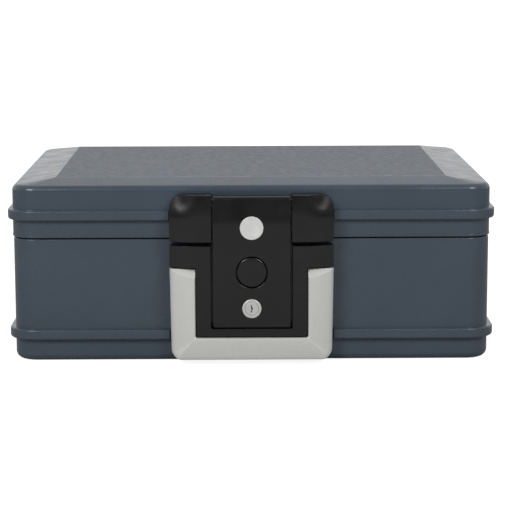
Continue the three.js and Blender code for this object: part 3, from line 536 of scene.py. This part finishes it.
def rod(radius, xs, y, z, steps=32, chamfer=0.0):
    """A round bar along x, with its ends' edges taken off."""
    angles = [2 * pi * k / steps for k in range(steps)]
    stations = [(radius, xs[0]), (radius, xs[1])]
    if chamfer:
        stations = [(radius - chamfer, xs[0]), (radius, xs[0] + chamfer),
                    (radius, xs[1] - chamfer), (radius - chamfer, xs[1])]
    return skin([[(x, y + r * cos(a), z + r * sin(a)) for a in angles] for r, x in stations])


def as_object(mesh, name="scratch"):
    data = bpy.data.meshes.new(name)
    mesh.to_mesh(data)
    mesh.free()
    return add_object(name, data)


def evaluated(thing):
    """The mesh of an object after its modifiers; the object itself is thrown away."""
    bpy.context.view_layer.update()
    result = bmesh.new()
    result.from_object(thing, bpy.context.evaluated_depsgraph_get())
    bpy.data.objects.remove(thing)
    return result


def carve(body, *tools, how="DIFFERENCE"):
    """The body with each tool cut away, or joined to it (UNION), or crossed with it
    (INTERSECT)."""
    target = as_object(body)
    others = [as_object(tool) for tool in tools]
    for other in others:
        step = target.modifiers.new("carve", "BOOLEAN")
        step.operation = how
        step.solver = "EXACT"
        step.object = other
    result = evaluated(target)
    for other in others:
        bpy.data.objects.remove(other)
    return result


def soften(mesh, width, steps=3, angle=35):
    """Makes flat faces whole, then bevels."""
    bmesh.ops.dissolve_limit(mesh, angle_limit=radians(0.5), verts=mesh.verts,
                             edges=mesh.edges)
    return bevelled(mesh, width, steps, angle)


def bevelled(mesh, width, steps, angle):
    """Rounds off each edge that turns by more than the angle."""
    thing = as_object(mesh)
    step = thing.modifiers.new("soften", "BEVEL")
    step.width = width
    step.segments = steps
    step.limit_method = "ANGLE"
    step.angle_limit = radians(angle)
    step.miter_outer = "MITER_ARC"
    return evaluated(thing)


def mirrored(mesh):
    """A mesh and its mirror image across the middle of the box, as one."""
    other = mesh.copy()
    bmesh.ops.scale(other, vec=(-1, 1, 1), verts=other.verts)
    bmesh.ops.reverse_faces(other, faces=other.faces)
    return merged(mesh, other)


def merged(*meshes):
    """Several meshes that don't touch, as one."""
    whole = bmesh.new()
    for mesh in meshes:
        data = bpy.data.meshes.new("scratch")
        mesh.to_mesh(data)
        mesh.free()
        whole.from_mesh(data)
        bpy.data.meshes.remove(data)
    return whole


def cad_mesh(node):
    """A copy of a CAD node's mesh, with its flat faces whole."""
    mesh = bmesh.new()
    mesh.from_mesh(frame["nodes"][node].data)
    bmesh.ops.scale(mesh, vec=(1 / MM,) * 3, verts=mesh.verts)
    bmesh.ops.remove_doubles(mesh, verts=mesh.verts, dist=0.002)
    bmesh.ops.dissolve_limit(mesh, angle_limit=radians(1), verts=mesh.verts, edges=mesh.edges)
    return mesh


SHARP_ANGLE = radians(40)


def piece(node, mesh, extra=None):
    """Puts a finished mesh in place of a CAD node, with that node's body and material."""
    bmesh.ops.remove_doubles(mesh, verts=mesh.verts, dist=0.0005)
    bmesh.ops.scale(mesh, vec=(MM,) * 3, verts=mesh.verts)
    for face in mesh.faces:
        face.smooth = True
    thing = as_object(mesh, f"{node}_detailed")
    thing.data.set_sharp_from_angle(angle=SHARP_ANGLE)
    weights = thing.modifiers.new("normals", "WEIGHTED_NORMAL")
    weights.keep_sharp = True
    thing.data.materials.append(MATERIALS[SLOT_OF[node]])
    if extra:
        thing.data.materials.append(extra)
    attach(thing, BODY_OF[node])
    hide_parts(node)
    return thing


# ---- the shell ---------------------------------------------------------------------------------
CORNER_STEPS = 14
FIELD_STEP = 0.25  # half the width over which a rib falls back at the latch field


def plan_loop(half_x, half_y, radius, z, front=()):
    """A rounded rectangle at a height, with extra points (x, y) along its front side."""
    radius = max(radius, 0.2)
    loop = []
    for side_x, side_y, start in ((1, -1, -90), (1, 1, 0), (-1, 1, 90), (-1, -1, 180)):
        centre = (side_x * (half_x - radius), MID_Y + side_y * (half_y - radius))
        loop += [(x, y, z) for x, y in arc(centre, radius, start, start + 90, CORNER_STEPS)]
    return loop + [(x, y, z) for x, y in front]


def shell_loop(out, z, wall=0.0):
    """The shell's outline pushed out from its nominal wall; across the latch field, a rib
    falls back to the wall."""
    ends = (-LATCH_FIELD - FIELD_STEP, -LATCH_FIELD + FIELD_STEP)
    across = [(ends[0], out), (ends[1], min(out, wall)), (-ends[1], min(out, wall)),
              (-ends[0], out)]
    front = [(x, FRONT_Y - proud) for x, proud in across]
    return plan_loop(HALF_WIDTH + out, HALF_DEPTH + out, CORNER_RADIUS + out, z, front)


def panel_loop(grow, z):
    """The edge of the lid's middle panel."""
    half_y = HALF_DEPTH - STRIP_FRONT + grow
    xs = (-LATCH_FIELD - FIELD_STEP, -LATCH_FIELD + FIELD_STEP)
    front = [(x, MID_Y - half_y) for x in (xs[0], xs[1], -xs[1], -xs[0])]
    return plan_loop(HALF_WIDTH - STRIP_SIDE + grow, half_y, 1.5 + grow, z, front)


def rib_profile(low, wall):
    """A rib's section from its lower root to its upper one, as (out, z)."""
    high = low + RIB_HEIGHT
    root, crease, under, top = 0.9, 0.3, 1.9, 1.3
    return [
        *arc((wall + root, low - root), root, 180, 90, 3),
        *arc((RIB_PROUD - under, low + under), under, -90, 0, 5),
        *arc((RIB_PROUD - top, high - top), top, 0, 90, 5),
        *arc((wall + crease, high + crease), crease, 270, 180, 2),
    ]


def lid_outer_shell():
    """The lid as one skin, from its inner ceiling round the lip to the grained panel."""
    lip = 1.0
    step = 0.3
    outside = [
        *arc((BAND_PROUD - lip, LID_BOTTOM_Z + lip), lip, -90, 0, 4),
        *arc((BAND_PROUD - step, BAND_TOP_Z - step), step, 0, 90, 2),
        (0.0, BAND_TOP_Z + 0.02),
        *rib_profile(LID_RIB_Z, 0.0),
        *arc((-TOP_ROUNDING, EDGE_Z - TOP_ROUNDING), TOP_ROUNDING, 0, 81, 8),
    ]
    inside = [(-8.0, EDGE_Z - 3), (-WALL, EDGE_Z - TOP_ROUNDING), (-WALL, LID_BOTTOM_Z)]
    crease = 0.6
    loops = [panel_loop(0, LID_TOP_Z - 3)]
    loops += [shell_loop(out, z) for out, z in inside + outside]
    loops += [panel_loop(crease, LID_TOP_Z - 0.09), panel_loop(-crease, LID_TOP_Z)]
    mesh = skin(loops)
    for face in mesh.faces:
        if face.normal.z > 0.999 and face.calc_center_median().z > LID_TOP_Z - 0.01:
            face.material_index = 1
    piece("lid_outer_shell", mesh, PEBBLED)


def base_outer_shell():
    """The tub as one skin, from its inner floor over the lip and down the outside."""
    lip = 0.9
    wall = BASE_WALL
    inside = [(-FLOOR_ROUNDING, WALL), (-WALL - 0.5, FLOOR_ROUNDING), (-WALL - 0.5, BASE_TOP_Z)]
    outside = [
        *arc((wall - lip, BASE_TOP_Z - lip), lip, 90, 0, 4),
        *reversed(rib_profile(BASE_RIB_Z, wall)),
        *arc((wall - FLOOR_ROUNDING, FLOOR_ROUNDING), FLOOR_ROUNDING, 0, -90, 9),
    ]
    piece("base_outer_shell", skin([shell_loop(out, z, wall) for out, z in inside + outside]))


# ---- the inside --------------------------------------------------------------------------------
def cavity_loop(out, z):
    return plan_loop(CAVITY_X + out, CAVITY_Y + out, CAVITY_RADIUS + out, z)


def rim_loop(z):
    return plan_loop(HALF_WIDTH - RIM_INSET, HALF_DEPTH - RIM_INSET,
                     CORNER_RADIUS - RIM_INSET, z)


def base_inner_liner():
    """The inner tub with its rim and the channel for the seal."""
    corner, lip, brim = 7.0, 1.2, 0.4
    underside = BASE_TOP_Z - RIM_THICKNESS
    inner = [
        *arc((-corner, CAVITY_FLOOR_Z + corner), corner, -90, 0, 6),
        *arc((lip, BASE_TOP_Z - lip), lip, 180, 90, 4),
        *arc((SEAL_NEAR - brim, BASE_TOP_Z - brim), brim, 90, 0, 2),
        (SEAL_NEAR, SEAL_FLOOR_Z),
        (SEAL_FAR, SEAL_FLOOR_Z),
        *arc((SEAL_FAR + brim, BASE_TOP_Z - brim), brim, 180, 90, 2),
    ]
    outer = [(SEAL_FAR + 2, underside), (SEAL_FAR + 2, SEAL_FLOOR_Z - 2),
             (SEAL_NEAR - 2, SEAL_FLOOR_Z - 2), (SEAL_NEAR - 2, underside),
             (LINER_WALL, underside), (LINER_WALL, CAVITY_FLOOR_Z - LINER_WALL)]
    loops = [cavity_loop(out, z) for out, z in inner]
    loops += [rim_loop(BASE_TOP_Z), rim_loop(underside)]
    loops += [cavity_loop(out, z) for out, z in outer]
    piece("base_inner_liner", skin(loops))


def lid_inner_liner():
    """The lid's liner with the tongue that closes on the seal."""
    corner, lip, tongue = 7.0, 1.2, 1.6
    tip = SEAL_FLOOR_Z + 3
    topside = LID_BOTTOM_Z + RIM_THICKNESS
    near, far = SEAL_NEAR + 1.8, SEAL_FAR - 1.8
    inner = [
        *arc((-corner, CAVITY_CEILING_Z - corner), corner, 90, 0, 6),
        *arc((lip, LID_BOTTOM_Z + lip), lip, 180, 270, 4),
        (near, LID_BOTTOM_Z),
        *arc((near + tongue, tip + tongue), tongue, 180, 270, 4),
        *arc((far - tongue, tip + tongue), tongue, 270, 360, 4),
        (far, LID_BOTTOM_Z),
    ]
    loops = [cavity_loop(out, z) for out, z in inner]
    loops += [rim_loop(LID_BOTTOM_Z), rim_loop(topside)]
    loops += [cavity_loop(LINER_WALL, topside),
              cavity_loop(LINER_WALL, CAVITY_CEILING_Z + LINER_WALL)]
    piece("lid_inner_liner", skin(loops))


def rim_gasket():
    """The seal: a ring with a rounded top, as high as its CAD piece."""
    low, high = node_box("rim_gasket")
    near, far = SEAL_NEAR + 0.5, SEAL_FAR - 0.5
    crown = 1.6
    profile = [(near, low.z), (near, high.z - crown),
               *arc((near + crown, high.z - crown), crown, 170, 90, 4),
               *arc((far - crown, high.z - crown), crown, 90, 10, 4),
               (far, high.z - crown), (far, low.z)]
    piece("rim_gasket", skin([cavity_loop(out, z) for out, z in profile], ring=True))


# ---- the latch on the front --------------------------------------------------------------------
def side_fall(x):
    """How far a front piece has fallen back at a distance from the middle."""
    share = max(0.0, (abs(x) - LEVEL_HALF) / (HALF_LATCH - LEVEL_HALF))
    return SIDE_FALL * share * share


def falling_plan(proud, back):
    """The plan of a front piece whose face falls back at both sides."""
    steps = 10
    reach = HALF_LATCH - LEVEL_HALF
    xs = [LEVEL_HALF + reach * k / steps for k in range(steps + 1)]
    right = [(x, proud - side_fall(x)) for x in xs]
    left = [(-x, p) for x, p in reversed(right)]
    return [(-HALF_LATCH, back), (HALF_LATCH, back), *reversed(right), *reversed(left)]


def ear_face(x, z):
    """The proud distance of a housing ear's face: it falls back to the side, a little to the
    top, and more at its outer top corner."""
    rise = max(0.0, (z - HOUSING_Z[1]) / CORNER_FALL_REACH + 1)
    share = min(1.0, max(0.0, (abs(x) - CORNER_FALL_X[0]) / (CORNER_FALL_X[1] - CORNER_FALL_X[0])))
    corner = CORNER_FALL * share * share * (3 - 2 * share) * rise ** 1.5
    return EAR_PROUD - side_fall(x) - corner - TOP_FALL * rise ** 2


def pin_bore(xs, z):
    """The room for a pin of the flap or the handle."""
    return rod(PIN_ROOM, xs, FRONT_Y - PIVOT_PROUD, z)


def pin_boss(xs, z):
    """A boss that covers a pin where it would show in a seam."""
    return rod(PIN_BOSS, xs, FRONT_Y - PIVOT_PROUD, z, 40, PIN_BOSS_CHAMFER)


def latch_housing():
    """Two ears, each a sheet of rows under its curved face, joined by a web behind the flap."""
    inner = HALF_FLAP + SEAM
    low, high = HOUSING_Z
    centre = (HALF_LATCH - EAR_RADIUS, high - EAR_RADIUS)
    edge = [(HALF_LATCH, low + (centre[1] - low) * k / EAR_ROWS) for k in range(EAR_ROWS)]
    edge += arc(centre, EAR_RADIUS, 0, 90, EAR_ROWS)
    mesh = bmesh.new()

    def row(limit, z, proud):
        xs = [inner + (limit - inner) * k / EAR_COLUMNS for k in range(EAR_COLUMNS + 1)]
        return [mesh.verts.new((x, FRONT_Y - proud(x, z), z)) for x in xs]

    face = [row(limit, z, ear_face) for limit, z in edge]
    rear = [row(limit, z, lambda x, z: FRONT_GAP) for limit, z in edge]
    for sheet in (face, rear):
        for lower, upper in zip(sheet, sheet[1:]):
            for i in range(EAR_COLUMNS):
                mesh.faces.new((lower[i], lower[i + 1], upper[i + 1], upper[i]))
    for rows in ((face[0], rear[0]), (face[-1], rear[-1]),
                 ([r[0] for r in face], [r[0] for r in rear]),
                 ([r[-1] for r in face], [r[-1] for r in rear])):
        for i in range(len(rows[0]) - 1):
            mesh.faces.new((rows[0][i], rows[0][i + 1], rows[1][i + 1], rows[1][i]))
    face_outward(mesh)
    ears = mirrored(bevelled(mesh, 2.0, 5, 40))
    # The web's sides are off the ears' own rows, so that no faces lie in one plane.
    web = block((-inner - 1.37, inner + 1.37), (FRONT_GAP + 0.17, CHANNEL_FLOOR),
                (low + 1.33, FLAP_PIVOT_Z - 5.5))
    housing = carve(carve(ears, web, how="UNION"), pin_bore((-48, 48), FLAP_PIVOT_Z))
    open_edges = [edge for edge in housing.edges if edge.is_boundary]
    bmesh.ops.holes_fill(housing, edges=open_edges, sides=0)
    face_outward(housing)
    piece("latch_housing", housing)


def latch_plate():
    """A cross bar over a stem, with the channel that the flap closes into."""
    back = FRONT_GAP + BASE_WALL
    low, high = CROSSBAR_Z
    view = rounded([
        (-HALF_STEM, STEM_BOTTOM_Z, 2.5), (HALF_STEM, STEM_BOTTOM_Z, 2.5), (HALF_STEM, low),
        (HALF_LATCH, low), (HALF_LATCH, high, 1.2), (-HALF_LATCH, high, 1.2),
        (-HALF_LATCH, low), (-HALF_STEM, low),
    ])
    body = carve(prism(view, back, PLATE_PROUD + 2, "proud"),
                 prism(falling_plan(PLATE_PROUD, back - 1), 0, 120, "z"), how="INTERSECT")
    inner = HALF_FLAP + SEAM + SEAM_SPARE
    foot = FLAP_Z[0] - SEAM - SEAM_SPARE
    channel = prism(rounded([(-inner, foot, 1.5), (inner, foot, 1.5),
                             (inner, 160), (-inner, 160)]), CHANNEL_FLOOR, 30,
                    "proud")
    shaped = soften(carve(body, channel), 0.7)
    bosses = [pin_boss(xs, HANDLE_PIVOT_Z)
              for xs in ((-HALF_STEM - 0.4, -HALF_STEM + 1), (HALF_STEM - 1, HALF_STEM + 0.4))]
    shaped = carve(shaped, *bosses, how="UNION")
    bores = [pin_bore(xs, HANDLE_PIVOT_Z)
             for xs in ((-HALF_STEM - 1, -36), (36, HALF_STEM + 1))]
    strike_holes = [disc(SCREW_HOLE, 22.5, z, (0.5, 4)) for z in (36, 90)]
    piece("latch_plate", carve(shaped, *bores, *strike_holes))


def flared_hole(radius, z, deep, flare):
    """A cutter for a round hole in the flap whose mouth opens in a small curve."""
    mouth = arc((radius + flare, FLAP_PROUD - flare), flare, 180, 90, 5)
    return turned([(radius, deep), *mouth, (radius + flare + 0.4, FLAP_PROUD + 0.4)], 0, z, 64)


def flap_cover():
    """The cover: its side view crossed with its front view, then hollowed and bored."""
    knuckle = PIVOT_PROUD - KNUCKLE_RADIUS
    side = rounded([
        (FLAP_BACK, FLAP_Z[0]), (FLAP_PROUD, FLAP_Z[0]),
        (FLAP_PROUD, FLAP_BEND_Z, FLAP_BEND_RADIUS),
        (FLAP_PROUD - FLAP_TOP_FALL, FLAP_Z[1], 3.2),
        (knuckle + 2, FLAP_Z[1], 1.2), (knuckle, FLAP_PIVOT_Z + 3, 2),
        (knuckle, FLAP_PIVOT_Z - KNUCKLE_RADIUS, 5.5), (FLAP_BACK, FLAP_BEND_Z),
    ])
    half = HALF_FLAP - SEAM_SPARE
    foot = FLAP_Z[0] + SEAM_SPARE
    view = rounded([(-half, foot, FLAP_FOOT_RADIUS), (half, foot, FLAP_FOOT_RADIUS),
                    (half, FLAP_Z[1] + 1), (-half, FLAP_Z[1] + 1)])
    body = carve(prism(side, -HALF_FLAP, HALF_FLAP, "x"), prism(view, 0, 30, "proud"),
                 how="INTERSECT")
    end = HALF_FLAP + SEAM - PIN_BOSS_CHAMFER
    body = carve(soften(body, 0.9, 3, 60), pin_boss((-end, end), FLAP_PIVOT_Z), how="UNION")
    inner = HALF_FLAP - FLAP_SIDE_WALL
    front_inside = FLAP_PROUD - FLAP_WALL
    pocket = block((-inner, inner), (0, front_inside), (FLAP_Z[0] + FLAP_WALL, FLAP_BEND_Z))
    fin_room = block((9.0, 18.7), (0, 17.2), (FLAP_Z[0] - 1, FLAP_Z[0] + FLAP_WALL + 1))
    bore = pin_bore((-HALF_FLAP - 1, HALF_FLAP + 1), FLAP_PIVOT_Z)
    button = flared_hole(BUTTON_RADIUS + 0.6, BUTTON_Z, front_inside - 1, 0.5)
    lock = disc(LOCK_BARREL + 0.3, 0, LOCK_Z, (front_inside - 1, FLAP_PROUD + 1))
    lock_seat = flared_hole(LOCK_FLANGE + 0.3, LOCK_Z, FLAP_PROUD - 0.9, 0.4)
    badge_seat = flared_hole(BADGE_RADIUS + 0.25, BADGE_Z, FLAP_PROUD - 0.8, 0.3)
    piece("flap_cover", carve(body, pocket, fin_room, bore, button, lock, lock_seat,
                              badge_seat))


def push_button():
    """A flanged, slightly domed button with the wedge that draws the catch."""
    face = FLAP_PROUD - 0.3
    shoulder = face - 5.3
    profile = [
        (BUTTON_RADIUS + BUTTON_FLANGE, face - 6.4), (BUTTON_RADIUS + BUTTON_FLANGE, shoulder),
        (BUTTON_RADIUS, shoulder),
        *arc((BUTTON_RADIUS - BUTTON_RIM, face - BUTTON_RIM), BUTTON_RIM, 0, 80, 5),
        (BUTTON_RADIUS - 3.0, face + 0.02), (4.0, face + 0.08),
    ]
    back = [(-9.5, face - 6.0), (-9.5, 12.2), (-5.5, 9.2), (-4.5, 9.2), (-4.5, face - 6.0)]
    wedge = prism(back, BUTTON_Z - 2, BUTTON_Z + 2, "z")
    piece("push_button", carve(turned(profile, 0, BUTTON_Z, 72), wedge, how="UNION"))


def badge_disc():
    """A blank disc with a fine step inside its rim."""
    low, high = node_box("badge_disc")
    back, face = FRONT_Y - high.y, FRONT_Y - low.y
    edge = 0.35
    profile = [(BADGE_RADIUS, back), *arc((BADGE_RADIUS - edge, face - edge), edge, 0, 90, 4),
               (BADGE_RADIUS - 1.1, face), (BADGE_RADIUS - 1.25, face - 0.12),
               (BADGE_RADIUS - 1.4, face - 0.12)]
    piece("badge_disc", turned(profile, 0, BADGE_Z, 72))


def lock_parts():
    """The barrel with its flange, and the plug with a plain keyway."""
    low, high = node_box("lock_housing")
    back, face = FRONT_Y - high.y, FRONT_Y - low.y
    edge = 0.6
    profile = [
        (LOCK_BARREL, back), (LOCK_BARREL, FLAP_PROUD - 0.6), (LOCK_FLANGE, FLAP_PROUD - 0.6),
        *arc((LOCK_FLANGE - edge, face - edge), edge, 0, 90, 4),
    ]
    mouth = LOCK_PLUG + 0.16
    bore = turned([(mouth, back - 1), (mouth, face - 0.3), (mouth + 0.5, face + 0.2)],
                  0, LOCK_Z)
    notch = block((-1.5, 1.5), (face - 0.6, face + 1), (LOCK_Z + 6.6, LOCK_Z + 9))
    piece("lock_housing", carve(turned(profile, 0, LOCK_Z, 64), bore, notch))

    face = FRONT_Y - node_box("lock_plug")[0].y
    profile = [(LOCK_PLUG, back), *arc((LOCK_PLUG - 0.4, face - 0.4), 0.4, 0, 90, 3)]
    keyway = prism(rounded([(-0.8, -3.2), (0.1, -3.2), (0.1, -1.0), (0.9, -0.4), (0.9, 0.8),
                            (0.1, 1.4), (0.1, 3.2), (-0.8, 3.2), (-0.8, 0.9), (-0.3, 0.3),
                            (-0.3, -0.9), (-0.8, -1.5)]), face - 6, face + 1, "proud")
    bmesh.ops.translate(keyway, vec=(0, 0, LOCK_Z), verts=keyway.verts)
    hole = disc(SCREW_HOLE, 0, LOCK_Z, (back - 0.5, back + 3), 24)
    piece("lock_plug", carve(turned(profile, 0, LOCK_Z, 48), keyway, hole))


# ---- the carry handle --------------------------------------------------------------------------
HANDLE_WIDTH = HALF_LATCH - HANDLE_INNER_X
BAR_HEIGHT = HANDLE_BAR_Z[1] - HANDLE_BAR_Z[0]
FOOT_TAPER = 1.2
OUTER_RADIUS = 8.5
INNER_RADIUS = 2.0
BAR_FLATTER = 0.7  # the share of the face's crown that the bottom bar loses


def handle_sweep(section):
    """Carries a section (share of the width from the inner edge, proud) along the U of the
    handle, with a mitre at the inner corners that turns into the round outer corners."""
    steps = 12
    inner_z = HANDLE_BAR_Z[1]

    def station(share, proud, angle, along):
        across = share * HANDLE_WIDTH
        down = share * BAR_HEIGHT
        radius = OUTER_RADIUS * share ** 2 + INNER_RADIUS * (1 - share) ** 4
        if angle is None:
            x, z = HANDLE_INNER_X + across, along
        else:
            if proud > HANDLE_SPLIT:
                proud += BAR_FLATTER * sin(angle) ** 2 * (SILVER_PROUD - proud)
            x = HANDLE_INNER_X + across - radius + radius * cos(angle)
            z = inner_z - down + radius - radius * sin(angle)
        taper = share * FOOT_TAPER * (HANDLE_TOP_Z - z) / (HANDLE_TOP_Z - HANDLE_BAR_Z[0])
        return x - taper, FRONT_Y - proud, z

    right = [[station(s, p, None, z) for s, p in section] for z in (HANDLE_TOP_Z + 3, 50)]
    right += [[station(s, p, radians(90 * k / steps), 0) for s, p in section]
              for k in range(steps + 1)]
    left = [[(-x, y, z) for x, y, z in loop] for loop in reversed(right)]
    return skin(right + left)


def handle_limit():
    """The side view that the handle keeps to, so that its arm ends clear the cross bar."""
    top = HANDLE_TOP_Z
    side = rounded([
        (HANDLE_BACK, -5), (30, -5), (30, 63.2), (SILVER_PROUD, 73.0, 0.8),
        (PIVOT_PROUD + 3.4, top, 1), (HANDLE_BACK + 4, top, 3), (HANDLE_BACK - 1.2, 74, 4),
        (HANDLE_BACK, 62, 3),
    ])
    return prism(side, -80, 80, "x")


def handle_parts():
    """The silver front cover and the back frame that closes it, split behind the face."""
    edge = 1.3
    shares = [0.1, 0.2, 0.35, 0.5, 0.65, 0.8, 0.88]
    face = [(s, SILVER_PROUD - HANDLE_CROWN * s ** 1.7) for s in shares]
    share = edge / HANDLE_WIDTH
    inner_edge = [(share + (u - edge) / HANDLE_WIDTH, p) for u, p in
                  arc((edge, SILVER_PROUD - 0.15 - edge), edge, 180, 95, 4)]
    turn = SILVER_PROUD - HANDLE_CROWN
    outer_edge = [(0.94, turn + 0.15), (0.98, turn - 0.8), (1.0, turn - 1.9)]
    section = [(0.0, HANDLE_SPLIT), *inner_edge, *face, *outer_edge, (1.0, HANDLE_SPLIT)]
    cover = carve(handle_sweep(section), handle_limit(), how="INTERSECT")
    piece("handle_front_cover", carve(cover, pin_bore((-60, 60), HANDLE_PIVOT_Z)))

    split = HANDLE_SPLIT - 0.3
    back = 0.05
    section = [(0.0, split), (0.0, HANDLE_BACK + 1), (back, HANDLE_BACK),
               (1 - back, HANDLE_BACK), (1.0, HANDLE_BACK + 1), (1.0, split)]
    back_frame = carve(handle_sweep(section), handle_limit(), how="INTERSECT")
    pockets = []
    for i in range(1, 5):
        low, high = node_box(f"handle_screw_{i}")
        x, z = (low.x + high.x) / 2, (low.z + high.z) / 2
        pockets += [disc(3.5, x, z, (0, HANDLE_BACK + 2), 24),
                    disc(SCREW_HOLE, x, z, (0, 12), 24)]
    piece("handle_back_frame",
          carve(back_frame, pin_bore((-60, 60), HANDLE_PIVOT_Z), *pockets))


# ---- the rear hinges ---------------------------------------------------------------------------
def hinge_half(node, x, knuckles, leaf_z, web_z):
    """Half of a rear hinge: a screwed leaf, a web out to the axis, and its knuckles."""
    leaf_y = REAR_Y + 0.35
    inner_proud = FRONT_Y - leaf_y
    z0, z1 = leaf_z
    at_axis = z1 if z1 < PARTING_Z else z0
    far = z0 if z1 < PARTING_Z else z1
    view = rounded([(x - HINGE_HALF, at_axis, 0.8), (x - HINGE_HALF, far, 4),
                    (x + HINGE_HALF, far, 4), (x + HINGE_HALF, at_axis, 0.8)])
    leaf = soften(prism(view, inner_proud, inner_proud - HINGE_LEAF, "proud"), 0.5, 2)
    parts = []
    for x0, x1 in knuckles:
        parts.append(block((x + x0 + 0.1, x + x1 - 0.1), (FRONT_Y - HINGE_AXIS_Y, inner_proud),
                           web_z))
        parts.append(rod(HINGE_KNUCKLE, (x + x0, x + x1), HINGE_AXIS_Y, PARTING_Z, 40, 0.4))
    bore = rod(HINGE_BORE, (x - 40, x + 40), HINGE_AXIS_Y, PARTING_Z)
    screw_z = BASE_HINGE_SCREW_Z if z1 < PARTING_Z else LID_HINGE_SCREW_Z
    holes = [disc(SCREW_HOLE, x + end * HINGE_SCREW_X, screw_z,
                  (inner_proud - 5, inner_proud + 1), 24) for end in (-1, 1)]
    piece(node, carve(carve(leaf, *parts, how="UNION"), bore, *holes))


def rear_hinges():
    """Both hinges, and every plain pin where its CAD pin is."""
    outer = HINGE_MIDDLE + SEAM
    for label, x in (("left", -HINGE_X), ("right", HINGE_X)):
        hinge_half(f"base_hinge_bracket_{label}", x, [(-HINGE_MIDDLE, HINGE_MIDDLE)],
                   (BASE_HINGE_FOOT_Z, BASE_TOP_Z - 1.5),
                   (PARTING_Z - HINGE_KNUCKLE, PARTING_Z))
        hinge_half(f"lid_hinge_leaf_{label}", x, [(-HINGE_HALF, -outer), (outer, HINGE_HALF)],
                   (LID_BOTTOM_Z + 2.5, LID_HINGE_TOP_Z),
                   (PARTING_Z, PARTING_Z + HINGE_KNUCKLE))
    for node in ("hinge_pin_left", "hinge_pin_right", "flap_hinge_pin", "handle_pin_left",
                 "handle_pin_right"):
        low, high = node_box(node)
        centre = (low + high) / 2
        radius = (high.z - low.z) / 2
        piece(node, rod(radius, (low.x, high.x), centre.y, centre.z, 32, 0.4))


# ---- small hardware ----------------------------------------------------------------------------
SCREW_NAMES = [
    *(f"{kind}_screw_{i}" for kind in ("housing", "latch_plate", "base_hinge", "lid_hinge",
                                       "handle") for i in range(1, 5)),
    "flap_screw_1", "flap_screw_2", "strike_screw_1", "strike_screw_2", "cam_screw",
]
HEAD_RADIUS = 2.9
HEAD_HEIGHT = 1.6
SHAFT_RADIUS = 1.5


def screws():
    """Pan-head screws with a cross recess, each where its CAD screw is."""
    dome = [(HEAD_RADIUS * cos(a), -HEAD_HEIGHT * sin(a) ** 0.8)
            for a in (radians(18 * k) for k in range(1, 5))]
    for node in SCREW_NAMES:
        low, high = node_box(node)
        length = high.y - low.y - HEAD_HEIGHT
        profile = [(0.3, length), (SHAFT_RADIUS, length - 1), (SHAFT_RADIUS, 0),
                   (HEAD_RADIUS, 0), *dome]
        steps = 32
        angles = [2 * pi * k / steps for k in range(steps)]
        body = skin([[(r * cos(a), -h, r * sin(a)) for a in angles] for r, h in profile])
        arms = []
        for across, tall in ((1.7, 0.42), (0.42, 1.7)):
            slot = [(-across, -tall), (across, -tall), (across, tall), (-across, tall)]
            arms.append(skin([[(u, h, v) for u, v in slot] for h in (0.5, 3.0)]))
        mesh = carve(body, *arms)
        if node.startswith("strike"):
            bmesh.ops.rotate(mesh, matrix=Matrix.Rotation(pi, 3, "X"), verts=mesh.verts)
            under = low.y + HEAD_HEIGHT
        else:
            under = high.y - HEAD_HEIGHT
        middle = (low + high) / 2
        bmesh.ops.translate(mesh, vec=(middle.x, under, middle.z), verts=mesh.verts)
        piece(node, mesh)


def plain_hardware():
    """Stamped and turned pieces whose CAD shape is right, with their edges broken."""
    for node, width in (("strike_plate", 0.25), ("catch_slide", 0.3), ("lock_cam", 0.25),
                        ("flap_back_plate", 0.25), ("lock_nut", 0.3)):
        piece(node, soften(cad_mesh(node), width, 2, 50))


def repaint_kept_nodes():
    """New materials for the CAD pieces that stay as they are."""
    for node in ("base_insulation", "lid_insulation", "button_spring", "catch_spring"):
        for slot in frame["nodes"][node].material_slots:
            slot.material = MATERIALS[SLOT_OF[node]]


add_camera()
add_lamps()
add_room()
add_floor()
lid_outer_shell()
base_outer_shell()
base_inner_liner()
lid_inner_liner()
rim_gasket()
latch_housing()
latch_plate()
flap_cover()
push_button()
badge_disc()
lock_parts()
handle_parts()
rear_hinges()
screws()
plain_hardware()
repaint_kept_nodes()
